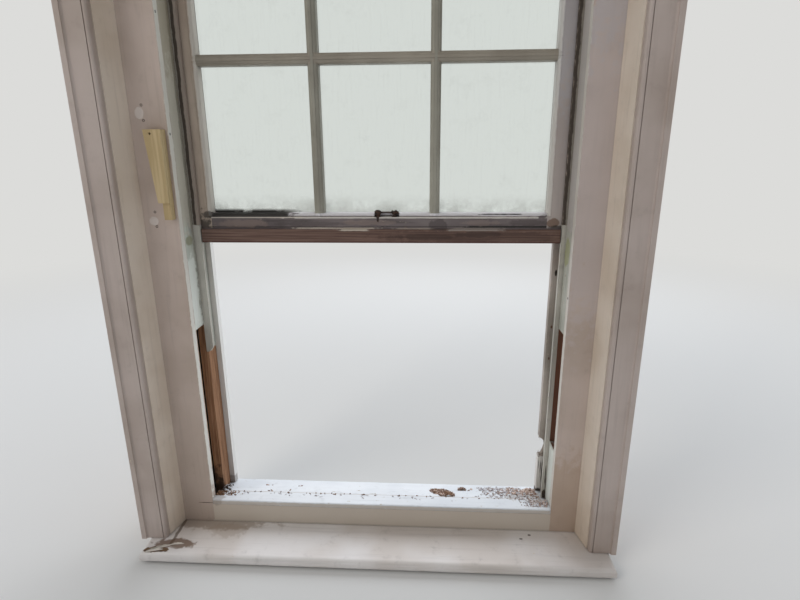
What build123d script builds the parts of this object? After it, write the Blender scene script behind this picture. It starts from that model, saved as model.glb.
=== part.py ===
"""Box sash window: cased frame, upper sash with six panes, reveal linings, architraves and board.

Millimetres, +Z up, +X to the right seen from the room, +Y towards the outside.
The origin is the middle of the sill's underside. While the pieces are drawn, y is the depth
behind the room face of the inner linings; save() moves every piece to the origin of the part.
"""
from build123d import *
import math
import os

# The opening between the pulley stiles, and between the sill's arris and the head
opening_width = 900.0
opening_height = 1500.0

# Cased frame
lining_thickness = 20.0
lining_width = 100.0
outer_lining_thickness = 19.0
outer_lining_stop = 14.0
channel_width = 48.0
stile_thickness = 22.0
tongue_thickness = 7.0
tongue_length = 6.0
tongue_setback = 9.0
back_lining_thickness = 8.0
head_thickness = 28.0
head_housing = 8.0
head_lining_height = 100.0

# Parting beads and the slips that hang between the weights
bead_thickness = 9.5
bead_projection = 10.5
bead_groove = 10.5
left_bead_pulled = 7.0
slip_thickness = 8.0
slip_gap = 4.0
slip_bottom = 150.0
slip_neck_width = 20.0
slip_neck_rise = 24.0
slip_shoulder_gap = 10.0
peg_radius = 3.0
peg_length = 34.0

# Sill
sill_depth = 150.0
sill_height = 100.0
sill_flat_depth = 44.0
sill_flat_fall = 3.5
sill_first_sinking = 7.5
sill_second_depth = 97.0
sill_second_sinking = 6.5
sill_slope = 12.0
sill_seat_height = 45.0
sill_nosing_height = 13.0
sill_nosing_projection = 4.0
throat_width = 7.0
throat_setback = 12.0

# Window board, reveal linings and architraves
board_thickness = 27.0
board_top = 32.0
board_projection = 130.0
board_length = 1178.0
board_shift = -5.0
board_nose_radius = 10.0
board_tongue = 8.0
reveal_margin = 74.0
reveal_depth = 58.0
reveal_splay = 14.0
reveal_thickness = 16.0
reveal_tongue_width = 6.0
surround_shift = -8.0
architrave_width = 65.0
architrave_edge = 20.0
architrave_flat = 15.0
architrave_band = 12.0
architrave_quirk = 2.0
architrave_bead = 6.0

# What is left of the pocket openings, measured from the sill's underside
pocket_top = 574.0
right_pocket_bottom = 262.0
pocket_bevel = 10.0
left_bead_end = 499.0
bead_end_slant = 1.2
rot_bottom = 176.0
rot_top = 233.0
rot_depth = 18.0

# Upper sash
sash_thickness = 46.0
sash_side_clearance = 1.5
sash_back_gap = 0.3
sash_head_clearance = 2.0
sash_height = 812.0
sash_stile_width = 43.0
top_rail_height = 52.0
meeting_rail_height = 70.0
meeting_lip_height = 35.0
meeting_lip_projection = 8.5
meeting_lip_bevel = 3.0
meeting_lip_clearance = 2.0
bar_width = 24.0
ovolo_radius = 9.0
ovolo_quirk = 1.5
glass_depth = 27.0
glass_thickness = 3.0
rebate_width = 7.0
glass_edge_gap = 1.0
putty_setback = 1.0
putty_sight = 1.0
columns = 3
rows = 2
tenon_thickness = 14.0
tenon_depth = 11.5
tenon_shoulder = 9.0
stub_tenon = 12.0
stub_tenon_width = 10.0
bar_core = 6.0
cord_groove_width = 14.0
cord_groove_depth = 11.0
cord_groove_length = 330.0
knot_radius = 9.0
knot_depth = 20.0

# Axle pulleys
pulley_drop = 120.0
plate_length = 110.0
plate_width = 25.0
plate_thickness = 3.0
case_length = 58.0
case_width = 18.0
case_depth = 40.0
case_wall = 2.5
wheel_radius = 22.0
wheel_width = 10.0
wheel_groove = 3.5
wheel_rim = 1.5
wheel_proud = 6.0
pin_radius = 3.0
pin_clearance = 0.05
screw_radius = 1.8
screw_head_radius = 3.6
screw_length = 16.0
screw_setback = 10.0
screw_clearance = 0.1

# Sash weights
weight_radius = 21.0
weight_length = 500.0
weight_neck_radius = 11.0
weight_neck_length = 30.0
weight_eye_radius = 5.0
weight_bottom = 85.0
weight_clearance = 0.3

# Fastener keeper on the meeting rail
keeper_length = 60.0
keeper_width = 13.0
keeper_plate = 2.5
keeper_centre = 25.0
keeper_knob_radius = 8.5
keeper_knob_height = 16.0
keeper_rod_radius = 2.5
keeper_lug_length = 17.0
keeper_lug_height = 13.0

# Packing blocks left on the inner lining
block_setback = 6.0
block_top = 1048.0
block_length = 158.0
block_top_width = 39.0
block_foot_width = 24.0
block_thickness = 24.0
low_block_length = 38.0
low_block_width = 17.0
low_block_thickness = 18.0

# Places worked out from the sizes above
half = opening_width / 2
head_z = sill_height + opening_height
front_channel = lining_thickness + channel_width
rear_channel = front_channel + bead_thickness
outer_y = rear_channel + channel_width
outer_face = outer_y + outer_lining_thickness
box_x = half + lining_width
stop_x = half - outer_lining_stop
bead_x = half - bead_projection
left_bead_x = -bead_x + left_bead_pulled
frame_top = head_z + head_lining_height
reveal_x = half + reveal_margin
soffit_z = head_z + reveal_margin
architrave_x = reveal_x + reveal_splay + architrave_quirk
sash_y = outer_y - sash_back_gap - sash_thickness
sash_top = head_z - sash_head_clearance
sash_bottom = sash_top - sash_height
sash_half = half - sash_side_clearance
sight_x = sash_half - sash_stile_width
sight_bottom = sash_bottom + meeting_rail_height
sight_top = sash_top - top_rail_height
pane_width = (2 * sight_x - (columns - 1) * bar_width) / columns
pane_height = (sight_top - sight_bottom - (rows - 1) * bar_width) / rows
pulley_z = head_z - pulley_drop
front_pulley_y = lining_thickness + channel_width / 2
rear_pulley_y = sash_y + sash_thickness / 2
wheel_x = half + wheel_radius - wheel_proud
slip_y = (lining_thickness + outer_y) / 2 - slip_thickness / 2
weight_y = slip_y + slip_thickness + weight_clearance + weight_radius
weight_x = half + stile_thickness + (lining_width - stile_thickness - back_lining_thickness) / 2
reach = 2 * (opening_width + opening_height)


def save(name, shape):
    """Moves a finished piece to the part's origin and writes it."""
    os.makedirs("parts", exist_ok=True)
    export_step(Pos(0, -sill_depth / 2, 0) * shape, f"parts/{name}.step")


def block(x0, x1, y0, y1, z0, z1):
    """A square-edged solid between two corners."""
    centre = Pos((x0 + x1) / 2, (y0 + y1) / 2, (z0 + z1) / 2)
    return centre * Box(abs(x1 - x0), abs(y1 - y0), abs(z1 - z0))


def prism_x(points, x0, x1):
    """An outline of (y, z) points drawn out along X."""
    return extrude(Plane.YZ.offset(x0) * make_face(Polyline(*points, close=True)), amount=x1 - x0)


def prism_y(points, y0, y1):
    """An outline of (x, z) points drawn out along Y."""
    plane = Plane(origin=(0, y1, 0), x_dir=(1, 0, 0), z_dir=(0, -1, 0))
    return extrude(plane * make_face(Polyline(*points, close=True)), amount=y1 - y0)


def prism_z(points, z0, z1):
    """An outline of (x, y) points drawn out along Z."""
    return extrude(Pos(0, 0, z0) * make_face(Polyline(*points, close=True)), amount=z1 - z0)


def rod_y(x, z, radius, y0, y1):
    """A round rod along Y."""
    return Pos(x, (y0 + y1) / 2, z) * Rot(90, 0, 0) * Cylinder(radius, y1 - y0)


def rod_x(y, z, radius, x0, x1):
    """A round rod along X."""
    return Pos((x0 + x1) / 2, y, z) * Rot(0, 90, 0) * Cylinder(radius, x1 - x0)


def left_of(shape):
    """The left-hand twin of a piece made for the right."""
    return mirror(shape, about=Plane.YZ)


def both(name, shape):
    """Writes a piece made for the right and its left-hand twin."""
    save(name + "_right", shape)
    save(name + "_left", left_of(shape))


# Sill: weathered top with two sinkings, nosing towards the room, throat under the outer edge

fall = math.tan(math.radians(sill_slope))
flat_z = sill_height - sill_flat_fall
first_z = flat_z - sill_first_sinking
second_z = first_z - fall * (sill_second_depth - sill_flat_depth)
third_z = second_z - sill_second_sinking
nose_z = third_z - fall * (sill_depth - sill_second_depth)
tongue_z = board_top - board_thickness / 2


def sill_profile():
    """The (y, z) outline of the sill between the linings."""
    return [
        (0, 0),
        (sill_depth, 0),
        (sill_depth, nose_z),
        (sill_second_depth, third_z),
        (sill_second_depth, second_z),
        (sill_flat_depth, first_z),
        (sill_flat_depth, flat_z),
        (0, sill_height),
    ]


def make_sill():
    body = prism_x(sill_profile(), -box_x, box_x)
    # the linings run down past its ends and the stiles stand in seats cut into it
    for side in (-1, 1):
        body -= block(side * half, side * (box_x + 1), -1, lining_thickness, board_top, reach)
        body -= block(side * half, side * (box_x + 1), lining_thickness, outer_y, sill_seat_height, reach)
    # groove for the window board's tongue and the throat that sheds water
    body -= block(-reach, reach, 0, board_tongue, tongue_z - board_tongue / 2, tongue_z + board_tongue / 2)
    body -= rod_x(sill_depth - throat_setback, 0, throat_width / 2, -reach, reach)
    # nosing along the top edge, mitred into the arrises of the linings
    nosing = block(-half, half, -sill_nosing_projection, 0, sill_height - sill_nosing_height, sill_height)
    long_edges = nosing.edges().filter_by(Axis.X).group_by(Axis.Y)[0]
    nosing = fillet(long_edges, sill_nosing_projection * 0.9)
    mitre = prism_z(
        [
            (-half, 0),
            (-half + sill_nosing_projection, -sill_nosing_projection),
            (half - sill_nosing_projection, -sill_nosing_projection),
            (half, 0),
        ],
        0,
        sill_height + 1,
    )
    return body + (nosing & mitre)


sill = make_sill()
sill_under = prism_x(sill_profile(), -reach, reach)
save("sill", sill)


# Pulley stiles: tongued into the linings, grooved for the parting bead, morticed for two pulleys

def pulley_mortice(y):
    """The hole for one axle pulley's plate, case and screws."""
    plate = block(half - 1, half + plate_thickness, y - plate_width / 2, y + plate_width / 2,
                  pulley_z - plate_length / 2, pulley_z + plate_length / 2)
    case = block(half, half + stile_thickness + 1, y - case_width / 2, y + case_width / 2,
                 pulley_z - case_length / 2, pulley_z + case_length / 2)
    hole = plate + case
    for z in (pulley_z - plate_length / 2 + screw_setback, pulley_z + plate_length / 2 - screw_setback):
        hole += rod_x(y, z, screw_radius + screw_clearance, half, half + plate_thickness + screw_length)
    return hole


def make_stile():
    stile = block(half, half + stile_thickness, lining_thickness, outer_y, sill_seat_height, head_z + head_housing)
    stile += block(half + tongue_setback, half + tongue_setback + tongue_thickness,
                   lining_thickness - tongue_length, outer_y + tongue_length, sill_seat_height, head_z)
    stile -= block(half - 1, half + bead_groove, front_channel, rear_channel, 0, reach)
    for y in (front_pulley_y, rear_pulley_y):
        stile -= pulley_mortice(y)
    return stile - sill


def pocket(depth, bottom, bevel):
    """The cut where a pocket piece has gone, with ends bevelled through the stile."""
    x0 = half - 1
    x1 = half + stile_thickness + 1
    outline = [(x0, bottom), (x1, bottom - bevel), (x1, pocket_top + pocket_bevel), (x0, pocket_top)]
    return prism_y(outline, 0, depth)


stile = make_stile()
save("pulley_stile_right", stile - pocket(front_channel, right_pocket_bottom, pocket_bevel))
save("pulley_stile_left", left_of(stile - pocket(rear_channel, -1, 0)))


# Inner, outer and back linings close each weight box

def tongue_groove(y0, y1):
    """The groove in a lining that takes the stile's tongue."""
    return block(half + tongue_setback, half + tongue_setback + tongue_thickness, y0, y1, 0, head_z)


reveal_groove_x = reveal_x + (reveal_thickness - reveal_tongue_width) / 2
soffit_groove_z = soffit_z + (reveal_thickness - reveal_tongue_width) / 2
surround = Pos(surround_shift, 0, 0)


def surround_grooves():
    """The grooves in the room face that take the tongues of the reveal linings and the soffit."""
    grooves = block(-reveal_x - reveal_thickness, reveal_x + reveal_thickness, -1, tongue_length,
                    soffit_groove_z, soffit_groove_z + reveal_tongue_width)
    for x in (reveal_groove_x, -reveal_groove_x - reveal_tongue_width):
        grooves += block(x, x + reveal_tongue_width, -1, tongue_length, board_top, soffit_z)
    return surround * grooves


def make_inner_lining():
    lining = block(half, box_x, 0, lining_thickness, board_top, frame_top)
    return lining - tongue_groove(lining_thickness - tongue_length, lining_thickness + 1)


def make_outer_lining():
    lining = block(stop_x, box_x, outer_y, outer_face, nose_z - 1, frame_top)
    lining -= tongue_groove(outer_y - 1, outer_y + tongue_length)
    return lining - sill_under


def rot_hole():
    """The ragged bite that rot has taken out of the right outer lining's edge."""
    tall = rot_top - rot_bottom
    outline = [
        (stop_x - 1, rot_bottom),
        (stop_x + rot_depth * 0.55, rot_bottom + tall * 0.08),
        (stop_x + rot_depth * 0.8, rot_bottom + tall * 0.3),
        (stop_x + rot_depth, rot_bottom + tall * 0.52),
        (stop_x + rot_depth * 0.85, rot_bottom + tall * 0.86),
        (stop_x + rot_depth * 0.35, rot_top),
        (stop_x - 1, rot_top + 4),
    ]
    return prism_y(outline, outer_y - 1, outer_face + 1)


inner_lining = make_inner_lining()
save("inner_lining_right", inner_lining - surround_grooves())
save("inner_lining_left", left_of(inner_lining) - surround_grooves())
outer_lining = make_outer_lining()
save("outer_lining_left", left_of(outer_lining))
save("outer_lining_right", outer_lining - rot_hole())
both("back_lining", block(box_x - back_lining_thickness, box_x, lining_thickness, outer_y,
                          sill_seat_height, head_z))


# Head: housed over the stiles, slotted for the necks of the parting slips

neck_x = (half + stile_thickness + slip_gap + box_x - back_lining_thickness - slip_gap) / 2


def make_head():
    head = block(-box_x, box_x, lining_thickness, outer_y, head_z, head_z + head_thickness)
    head -= block(-half, half, front_channel, rear_channel, head_z - 1, head_z + bead_groove)
    for side in (-1, 1):
        head -= block(side * half, side * (half + stile_thickness), lining_thickness, outer_y,
                      head_z - 1, head_z + head_housing)
        head -= block(side * neck_x - slip_neck_width / 2, side * neck_x + slip_neck_width / 2,
                      slip_y, slip_y + slip_thickness, head_z - 1, head_z + head_thickness + 1)
    return head


def make_head_lining():
    return block(-half, half, 0, lining_thickness, head_z, frame_top) - surround_grooves()


save("head", make_head())
save("head_inner_lining", make_head_lining())
save("head_outer_lining", block(-stop_x, stop_x, outer_y, outer_face, head_z - outer_lining_stop, frame_top))


# Parting slips hang through the head on wooden pegs

def make_slip():
    slip = block(half + stile_thickness + slip_gap, box_x - back_lining_thickness - slip_gap,
                 slip_y, slip_y + slip_thickness, slip_bottom, head_z - slip_shoulder_gap)
    slip += block(neck_x - slip_neck_width / 2, neck_x + slip_neck_width / 2,
                  slip_y, slip_y + slip_thickness, head_z - slip_shoulder_gap - 1,
                  head_z + head_thickness + slip_neck_rise)
    return slip - rod_y(neck_x, peg_z, peg_radius, slip_y - 1, slip_y + slip_thickness + 1)


peg_z = head_z + head_thickness + peg_radius
peg_y = slip_y + slip_thickness / 2
peg = rod_y(neck_x, peg_z, peg_radius, peg_y - peg_length / 2, peg_y + peg_length / 2)
both("parting_slip", make_slip())
save("slip_pegs", Compound([peg, left_of(peg)]))


# Parting beads: the left one ends in a slanting cut above the open pocket

def make_bead():
    bead = block(bead_x, half + bead_groove, front_channel, rear_channel, 0, head_z)
    return bead - sill - sill_under


bead = make_bead()
cut_end = prism_y(
    [(bead_x - 1, 0), (reach, 0), (reach, left_bead_end), (half, left_bead_end),
     (bead_x - 1, left_bead_end + bead_end_slant * (bead_projection + 1))],
    0,
    outer_y,
)
save("parting_bead_right", bead)
save("parting_bead_left", Pos(left_bead_pulled, 0, 0) * left_of(bead - cut_end))
head_bead = block(left_bead_x, bead_x, front_channel, rear_channel, head_z - bead_projection, head_z)
save("parting_bead_head", head_bead + block(-half, half, front_channel, rear_channel, head_z, head_z + bead_groove))


# Window board with a rounded nosing returned round its horns

def make_board():
    half_board = board_length / 2
    back_x = reveal_x + reveal_splay + reveal_thickness + architrave_quirk
    board = block(-half_board, half_board, -board_projection, -reveal_depth,
                  board_top - board_thickness, board_top)
    front = board.edges().filter_by(Axis.X).group_by(Axis.Y)[0]
    ends = board.edges().filter_by(Axis.Y)
    board = fillet(list(front) + list(ends), board_nose_radius)
    back = block(-back_x, back_x, -reveal_depth - board_nose_radius, 0, board_top - board_thickness, board_top)
    back += block(-back_x, back_x, -1, board_tongue, tongue_z - board_tongue / 2, tongue_z + board_tongue / 2)
    return Pos(board_shift, 0, 0) * board + surround * back


save("window_board", make_board())


# Reveal linings: splayed sides and a level soffit, tongued into the inner linings

def make_reveal():
    flare = reveal_splay / reveal_depth
    outline = [
        (reveal_x, 0),
        (reveal_groove_x, 0),
        (reveal_groove_x, tongue_length),
        (reveal_groove_x + reveal_tongue_width, tongue_length),
        (reveal_groove_x + reveal_tongue_width, 0),
        (reveal_x + reveal_thickness, 0),
        (reveal_x + reveal_thickness + flare * reveal_depth, -reveal_depth),
        (reveal_x + reveal_splay, -reveal_depth),
    ]
    return prism_z(outline, board_top, soffit_z)


def make_soffit():
    long = reveal_x + reveal_thickness + reveal_splay
    soffit = block(-long, long, -reveal_depth, 0, soffit_z, soffit_z + reveal_thickness)
    soffit += block(-reveal_x - reveal_thickness, reveal_x + reveal_thickness, -1, tongue_length,
                    soffit_groove_z, soffit_groove_z + reveal_tongue_width)
    return soffit


reveal = make_reveal()
save("reveal_lining_right", surround * reveal)
save("reveal_lining_left", surround * left_of(reveal))
save("soffit_lining", surround * make_soffit())


# Architraves: bead on the inner arris, raised band on the outer edge, mitred at the corners

def architrave_section():
    """The outline as (width from the inner arris, thickness) in a drawing plane."""
    band = architrave_width - architrave_band
    bead_point = architrave_bead * (1 - math.sqrt(0.5))
    curve_point = (architrave_edge - architrave_flat) * math.sqrt(0.5)
    step = architrave_edge - architrave_flat
    return [
        Line((0, 0), (0, architrave_flat - architrave_bead)),
        ThreePointArc((0, architrave_flat - architrave_bead), (bead_point, architrave_flat - bead_point),
                      (architrave_bead, architrave_flat)),
        Polyline((architrave_bead, architrave_flat), (architrave_bead + 2, architrave_flat),
                 (architrave_bead + 2, architrave_flat - 2), (architrave_bead + 4, architrave_flat - 2),
                 (architrave_bead + 4, architrave_flat), (band - step, architrave_flat)),
        ThreePointArc((band - step, architrave_flat),
                      (band - step + curve_point, architrave_edge - curve_point), (band, architrave_edge)),
        Polyline((band, architrave_edge), (architrave_width, architrave_edge), (architrave_width, 0), (0, 0)),
    ]


def corner_region(x0, x1):
    """The outline of the right leg's own side of the mitre."""
    return [(x0, board_top), (x1, board_top), (x1, soffit_z + x1 - architrave_x), (x0, soffit_z + x0 - architrave_x)]


def make_leg():
    plane = Plane(origin=(architrave_x, -reveal_depth, board_top), x_dir=(1, 0, 0), z_dir=(0, 0, -1))
    leg = extrude(plane * make_face(architrave_section()), amount=-(soffit_z + architrave_width + 5 - board_top))
    region = corner_region(architrave_x - 5, architrave_x + architrave_width + 5)
    return leg & prism_y(region, -reveal_depth - 50, 0)


def make_architrave_head():
    long = architrave_x + architrave_width + 5
    plane = Plane(origin=(-long, -reveal_depth, soffit_z), x_dir=(0, 0, 1), z_dir=(1, 0, 0))
    top = extrude(plane * make_face(architrave_section()), amount=2 * long)
    rise = architrave_width + 5
    region = [(-architrave_x, soffit_z), (architrave_x, soffit_z), (architrave_x + rise, soffit_z + rise),
              (-architrave_x - rise, soffit_z + rise)]
    return top & prism_y(region, -reveal_depth - 50, 0)


leg = make_leg()
save("architrave_right", surround * leg)
save("architrave_left", surround * left_of(leg))
save("architrave_head", surround * make_architrave_head())


# Upper sash: every member is its own blank, cut by the same six rebated and moulded openings

def moulded_outline(size):
    """Half width of an opening against depth: ovolo and quirk, sight edge, glazing rebate."""
    arris = size + ovolo_radius
    end = ovolo_quirk + ovolo_radius
    bend = ovolo_radius * math.sqrt(0.5)
    back = sash_thickness + 1
    edges = [Line((-arris, -1), (arris, -1)), Line((-size - rebate_width, back), (size + rebate_width, back))]
    for side in (-1, 1):
        edges.append(Line((side * arris, -1), (side * arris, ovolo_quirk)))
        edges.append(ThreePointArc((side * arris, ovolo_quirk), (side * (arris - bend), end - bend),
                                   (side * size, end)))
        edges.append(Polyline((side * size, end), (side * size, glass_depth),
                              (side * (size + rebate_width), glass_depth), (side * (size + rebate_width), back)))
    return make_face(edges)


def putty_outline(size):
    """Half width of the hole in a putty bead: it widens from the glass to the outside."""
    near = glass_depth + glass_thickness
    wide = size + rebate_width - putty_sight
    return make_face(Polyline((-size, near - 1), (size, near - 1), (size, near), (wide, sash_thickness - putty_setback),
                              (wide, sash_thickness), (-wide, sash_thickness),
                              (-wide, sash_thickness - putty_setback), (-size, near), close=True))


def opening_solid(x, z, outline):
    """The solid that one outline makes when it runs round a pane's four mitred sides."""
    tall = Plane(origin=(x, sash_y, z - reach), x_dir=(1, 0, 0), z_dir=(0, 0, 1)) * outline(pane_width / 2)
    wide = Plane(origin=(x + reach, sash_y, z), x_dir=(0, 0, 1), z_dir=(-1, 0, 0)) * outline(pane_height / 2)
    return extrude(tall, amount=2 * reach) & extrude(wide, amount=2 * reach)


def pane_centre(column, row):
    """Where a pane lies; row 0 is the lower one."""
    x = -sight_x + pane_width / 2 + column * (pane_width + bar_width)
    z = sight_bottom + pane_height / 2 + row * (pane_height + bar_width)
    return x, z


cells = [(column, row) for row in range(rows) for column in range(columns)]
openings = {cell: opening_solid(*pane_centre(*cell), moulded_outline) for cell in cells}
bar_xs = [pane_centre(column, 0)[0] + (pane_width + bar_width) / 2 for column in range(columns - 1)]
cross_z = sight_bottom + pane_height + bar_width / 2
tenon_y = sash_y + tenon_depth


def moulded(blank):
    """Cuts the openings of the panes out of a member's blank."""
    for opening in openings.values():
        blank = blank - opening
    return blank


def through_tenon(z0, z1):
    """A rail's tenon on the right, right through the stile."""
    return block(sight_x, sash_half, tenon_y, tenon_y + tenon_thickness, z0, z1)


top_tenon = through_tenon(sight_top + tenon_shoulder, sash_top - tenon_shoulder)
meeting_tenon = through_tenon(sash_bottom + tenon_shoulder, sight_bottom - tenon_shoulder)


def side_tenon(x0, x1, z):
    """A cross bar's stub tenon."""
    return block(x0, x1, tenon_y, tenon_y + tenon_thickness, z - stub_tenon_width / 2, z + stub_tenon_width / 2)


def end_tenon(x, z0, z1):
    """An upright bar's stub tenon."""
    return block(x - stub_tenon_width / 2, x + stub_tenon_width / 2, tenon_y, tenon_y + tenon_thickness, z0, z1)


def cord_groove():
    """The groove for the cord in the sash's right edge, ploughed through the top tenon's end as well."""
    return block(sash_half - cord_groove_depth, sash_half + 1, rear_pulley_y - cord_groove_width / 2,
                 rear_pulley_y + cord_groove_width / 2, sash_top - cord_groove_length, sash_top + 1)


def make_sash_stile():
    member = moulded(block(sight_x, sash_half, sash_y, sash_y + sash_thickness, sash_bottom, sash_top))
    member -= top_tenon
    member -= meeting_tenon
    member -= side_tenon(sight_x, sight_x + stub_tenon, cross_z)
    # ploughed for the sash cord, with a bored seat for its knot
    member -= cord_groove()
    return member - rod_x(rear_pulley_y, sash_top - cord_groove_length, knot_radius,
                          sash_half - knot_depth, sash_half + 1)


def make_top_rail():
    member = moulded(block(-sight_x, sight_x, sash_y, sash_y + sash_thickness, sight_top, sash_top))
    member += top_tenon + left_of(top_tenon)
    member -= cord_groove() + left_of(cord_groove())
    for x in bar_xs:
        member -= end_tenon(x, sight_top, sight_top + stub_tenon)
    return member


def make_meeting_rail():
    member = block(-sight_x, sight_x, sash_y, sash_y + sash_thickness, sash_bottom, sight_bottom)
    lip_y = sash_y - meeting_lip_projection
    lip_z = sash_bottom + meeting_lip_height
    lip = [(sash_y, sash_bottom), (lip_y, sash_bottom), (lip_y, lip_z - meeting_lip_bevel), (sash_y, lip_z)]
    member += prism_x(lip, left_bead_x + meeting_lip_clearance, bead_x - meeting_lip_clearance)
    member = moulded(member)
    member += meeting_tenon + left_of(meeting_tenon)
    for x in bar_xs:
        member -= end_tenon(x, sight_bottom - stub_tenon, sight_bottom)
    return member - keeper_seat


def make_bar(x):
    member = moulded(block(x - bar_width / 2, x + bar_width / 2, sash_y, sash_y + sash_thickness,
                           sight_bottom, sight_top))
    # the cross bars reach its core from both sides
    for side in (-1, 1):
        member -= block(x + side * bar_core / 2, x + side * (bar_width / 2 + 1), sash_y - 1,
                        sash_y + sash_thickness + 1, cross_z - bar_width / 2, cross_z + bar_width / 2)
    member += end_tenon(x, sight_bottom - stub_tenon, sight_bottom)
    return member + end_tenon(x, sight_top, sight_top + stub_tenon)


def make_cross_bar(index):
    ends = [-sight_x] + bar_xs + [sight_x]
    x0 = ends[index]
    x1 = ends[index + 1]
    if index > 0:
        x0 += bar_core / 2
    if index < columns - 1:
        x1 -= bar_core / 2
    member = moulded(block(x0, x1, sash_y, sash_y + sash_thickness, cross_z - bar_width / 2, cross_z + bar_width / 2))
    if index == 0:
        member += side_tenon(x0 - stub_tenon, x0, cross_z)
    if index == columns - 1:
        member += side_tenon(x1, x1 + stub_tenon, cross_z)
    return member


# Keeper of the sash fastener: plate let into the rail's moulding, knob, rod and lug

keeper_z = sight_bottom - ovolo_radius
keeper_x0 = keeper_centre - keeper_length / 2
keeper_x1 = keeper_centre + keeper_length / 2
keeper_y = sash_y + keeper_width / 2
keeper_seat = block(keeper_x0, keeper_x1, sash_y - 1, sash_y + keeper_width, keeper_z, sight_bottom + 1)


def make_keeper():
    top = keeper_z + keeper_plate
    knob_x = keeper_x0 + keeper_knob_radius
    lug_x = keeper_x1 - keeper_lug_length
    keeper = block(keeper_x0, keeper_x1, sash_y, sash_y + keeper_width, keeper_z, top)
    neck = Pos(knob_x, keeper_y, top) * Cylinder(keeper_knob_radius * 0.55, keeper_knob_height - keeper_knob_radius,
                                                 align=(Align.CENTER, Align.CENTER, Align.MIN))
    keeper += neck
    knob = Pos(knob_x, keeper_y, top + keeper_knob_height - keeper_knob_radius) * Sphere(keeper_knob_radius * 0.75)
    keeper += knob
    lug = block(lug_x, keeper_x1, keeper_y - keeper_width / 2 + 1, keeper_y + keeper_width / 2 - 1,
                top, top + keeper_lug_height)
    lug = fillet(lug.edges().filter_by(Axis.Y).group_by(Axis.Z)[-1], 4)
    lug -= block(lug_x + 5, keeper_x1 - 5, keeper_y - keeper_width, keeper_y + keeper_width, top, top + 5)
    keeper += lug
    rod_z = top + keeper_lug_height - keeper_rod_radius - 2
    keeper += rod_x(keeper_y, rod_z, keeper_rod_radius, knob_x, lug_x + 1)
    return keeper


both("sash_stile", make_sash_stile())
save("sash_top_rail", make_top_rail())
save("sash_meeting_rail", make_meeting_rail())
for index, x in enumerate(bar_xs):
    save(f"glazing_bar_{index + 1}", make_bar(x))
for index in range(columns):
    save(f"cross_bar_{index + 1}", make_cross_bar(index))
save("fastener_keeper", make_keeper())


# Glass and putty: each pane lies against its rebate, held by a bevelled bead of putty

putties = []
for column, row in cells:
    x, z = pane_centre(column, row)
    wide = pane_width / 2 + rebate_width
    tall = pane_height / 2 + rebate_width
    near = sash_y + glass_depth
    pane = block(x - wide + glass_edge_gap, x + wide - glass_edge_gap, near, near + glass_thickness,
                 z - tall + glass_edge_gap, z + tall - glass_edge_gap)
    save(f"pane_row{row + 1}_{column + 1}", pane)
    ring = block(x - wide, x + wide, near + glass_thickness, sash_y + sash_thickness - putty_setback, z - tall, z + tall)
    putties.append(ring - opening_solid(x, z, putty_outline))
save("putty_beads", Compound(putties))


# Axle pulleys: a plate and case let into the stile, a grooved wheel on a pin

def make_pulley_case(y):
    half_length = case_length / 2
    body = block(half, half + plate_thickness, y - plate_width / 2, y + plate_width / 2,
                 pulley_z - plate_length / 2, pulley_z + plate_length / 2)
    body += block(half + plate_thickness, half + case_depth, y - case_width / 2, y + case_width / 2,
                  pulley_z - half_length, pulley_z + half_length)
    body -= block(half - 1, half + case_depth + 1, y - case_width / 2 + case_wall, y + case_width / 2 - case_wall,
                  pulley_z - half_length + case_wall, pulley_z + half_length - case_wall)
    body -= rod_y(wheel_x, pulley_z, pin_radius, y - plate_width, y + plate_width)
    for z in screw_heights:
        body -= screw_shape(y, z, screw_clearance)
    return body


def screw_shape(y, z, grow):
    """A countersunk screw, or with a little growth the hole that takes it."""
    turned = make_face(Polyline((0, 0), (screw_head_radius + grow, 0), (screw_radius + grow, plate_thickness),
                                (screw_radius + grow, plate_thickness + screw_length - grow),
                                (0, plate_thickness + screw_length - grow), close=True))
    plane = Plane(origin=(half, y, z), x_dir=(0, 1, 0), z_dir=(0, 0, -1))
    return revolve(plane * turned, Axis((half, y, z), (1, 0, 0)))


def make_wheel(y):
    half_width = wheel_width / 2
    flat = half_width - wheel_rim
    bore = pin_radius + pin_clearance
    outline = make_face([
        Line((-half_width, bore), (half_width, bore)),
        Line((half_width, bore), (half_width, wheel_radius)),
        Line((half_width, wheel_radius), (flat, wheel_radius)),
        ThreePointArc((flat, wheel_radius), (0, wheel_radius - wheel_groove), (-flat, wheel_radius)),
        Line((-flat, wheel_radius), (-half_width, wheel_radius)),
        Line((-half_width, wheel_radius), (-half_width, bore)),
    ])
    plane = Plane(origin=(wheel_x, y, pulley_z), x_dir=(0, 1, 0), z_dir=(1, 0, 0))
    return revolve(plane * outline, Axis((wheel_x, y, pulley_z), (0, 1, 0)))


screw_heights = (pulley_z - plate_length / 2 + screw_setback, pulley_z + plate_length / 2 - screw_setback)
pins = []
screws = []
for place, y in (("front", front_pulley_y), ("rear", rear_pulley_y)):
    both(f"pulley_case_{place}", make_pulley_case(y))
    both(f"pulley_wheel_{place}", make_wheel(y))
    pins.append(rod_y(wheel_x, pulley_z, pin_radius, y - case_width / 2, y + case_width / 2))
    screws.extend(screw_shape(y, z, 0) for z in screw_heights)
save("pulley_pins", Compound(pins + [left_of(pin) for pin in pins]))
save("pulley_screws", Compound(screws + [left_of(screw) for screw in screws]))


# Sash weights: cast cylinders with a necked eye, one behind each parting slip

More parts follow.
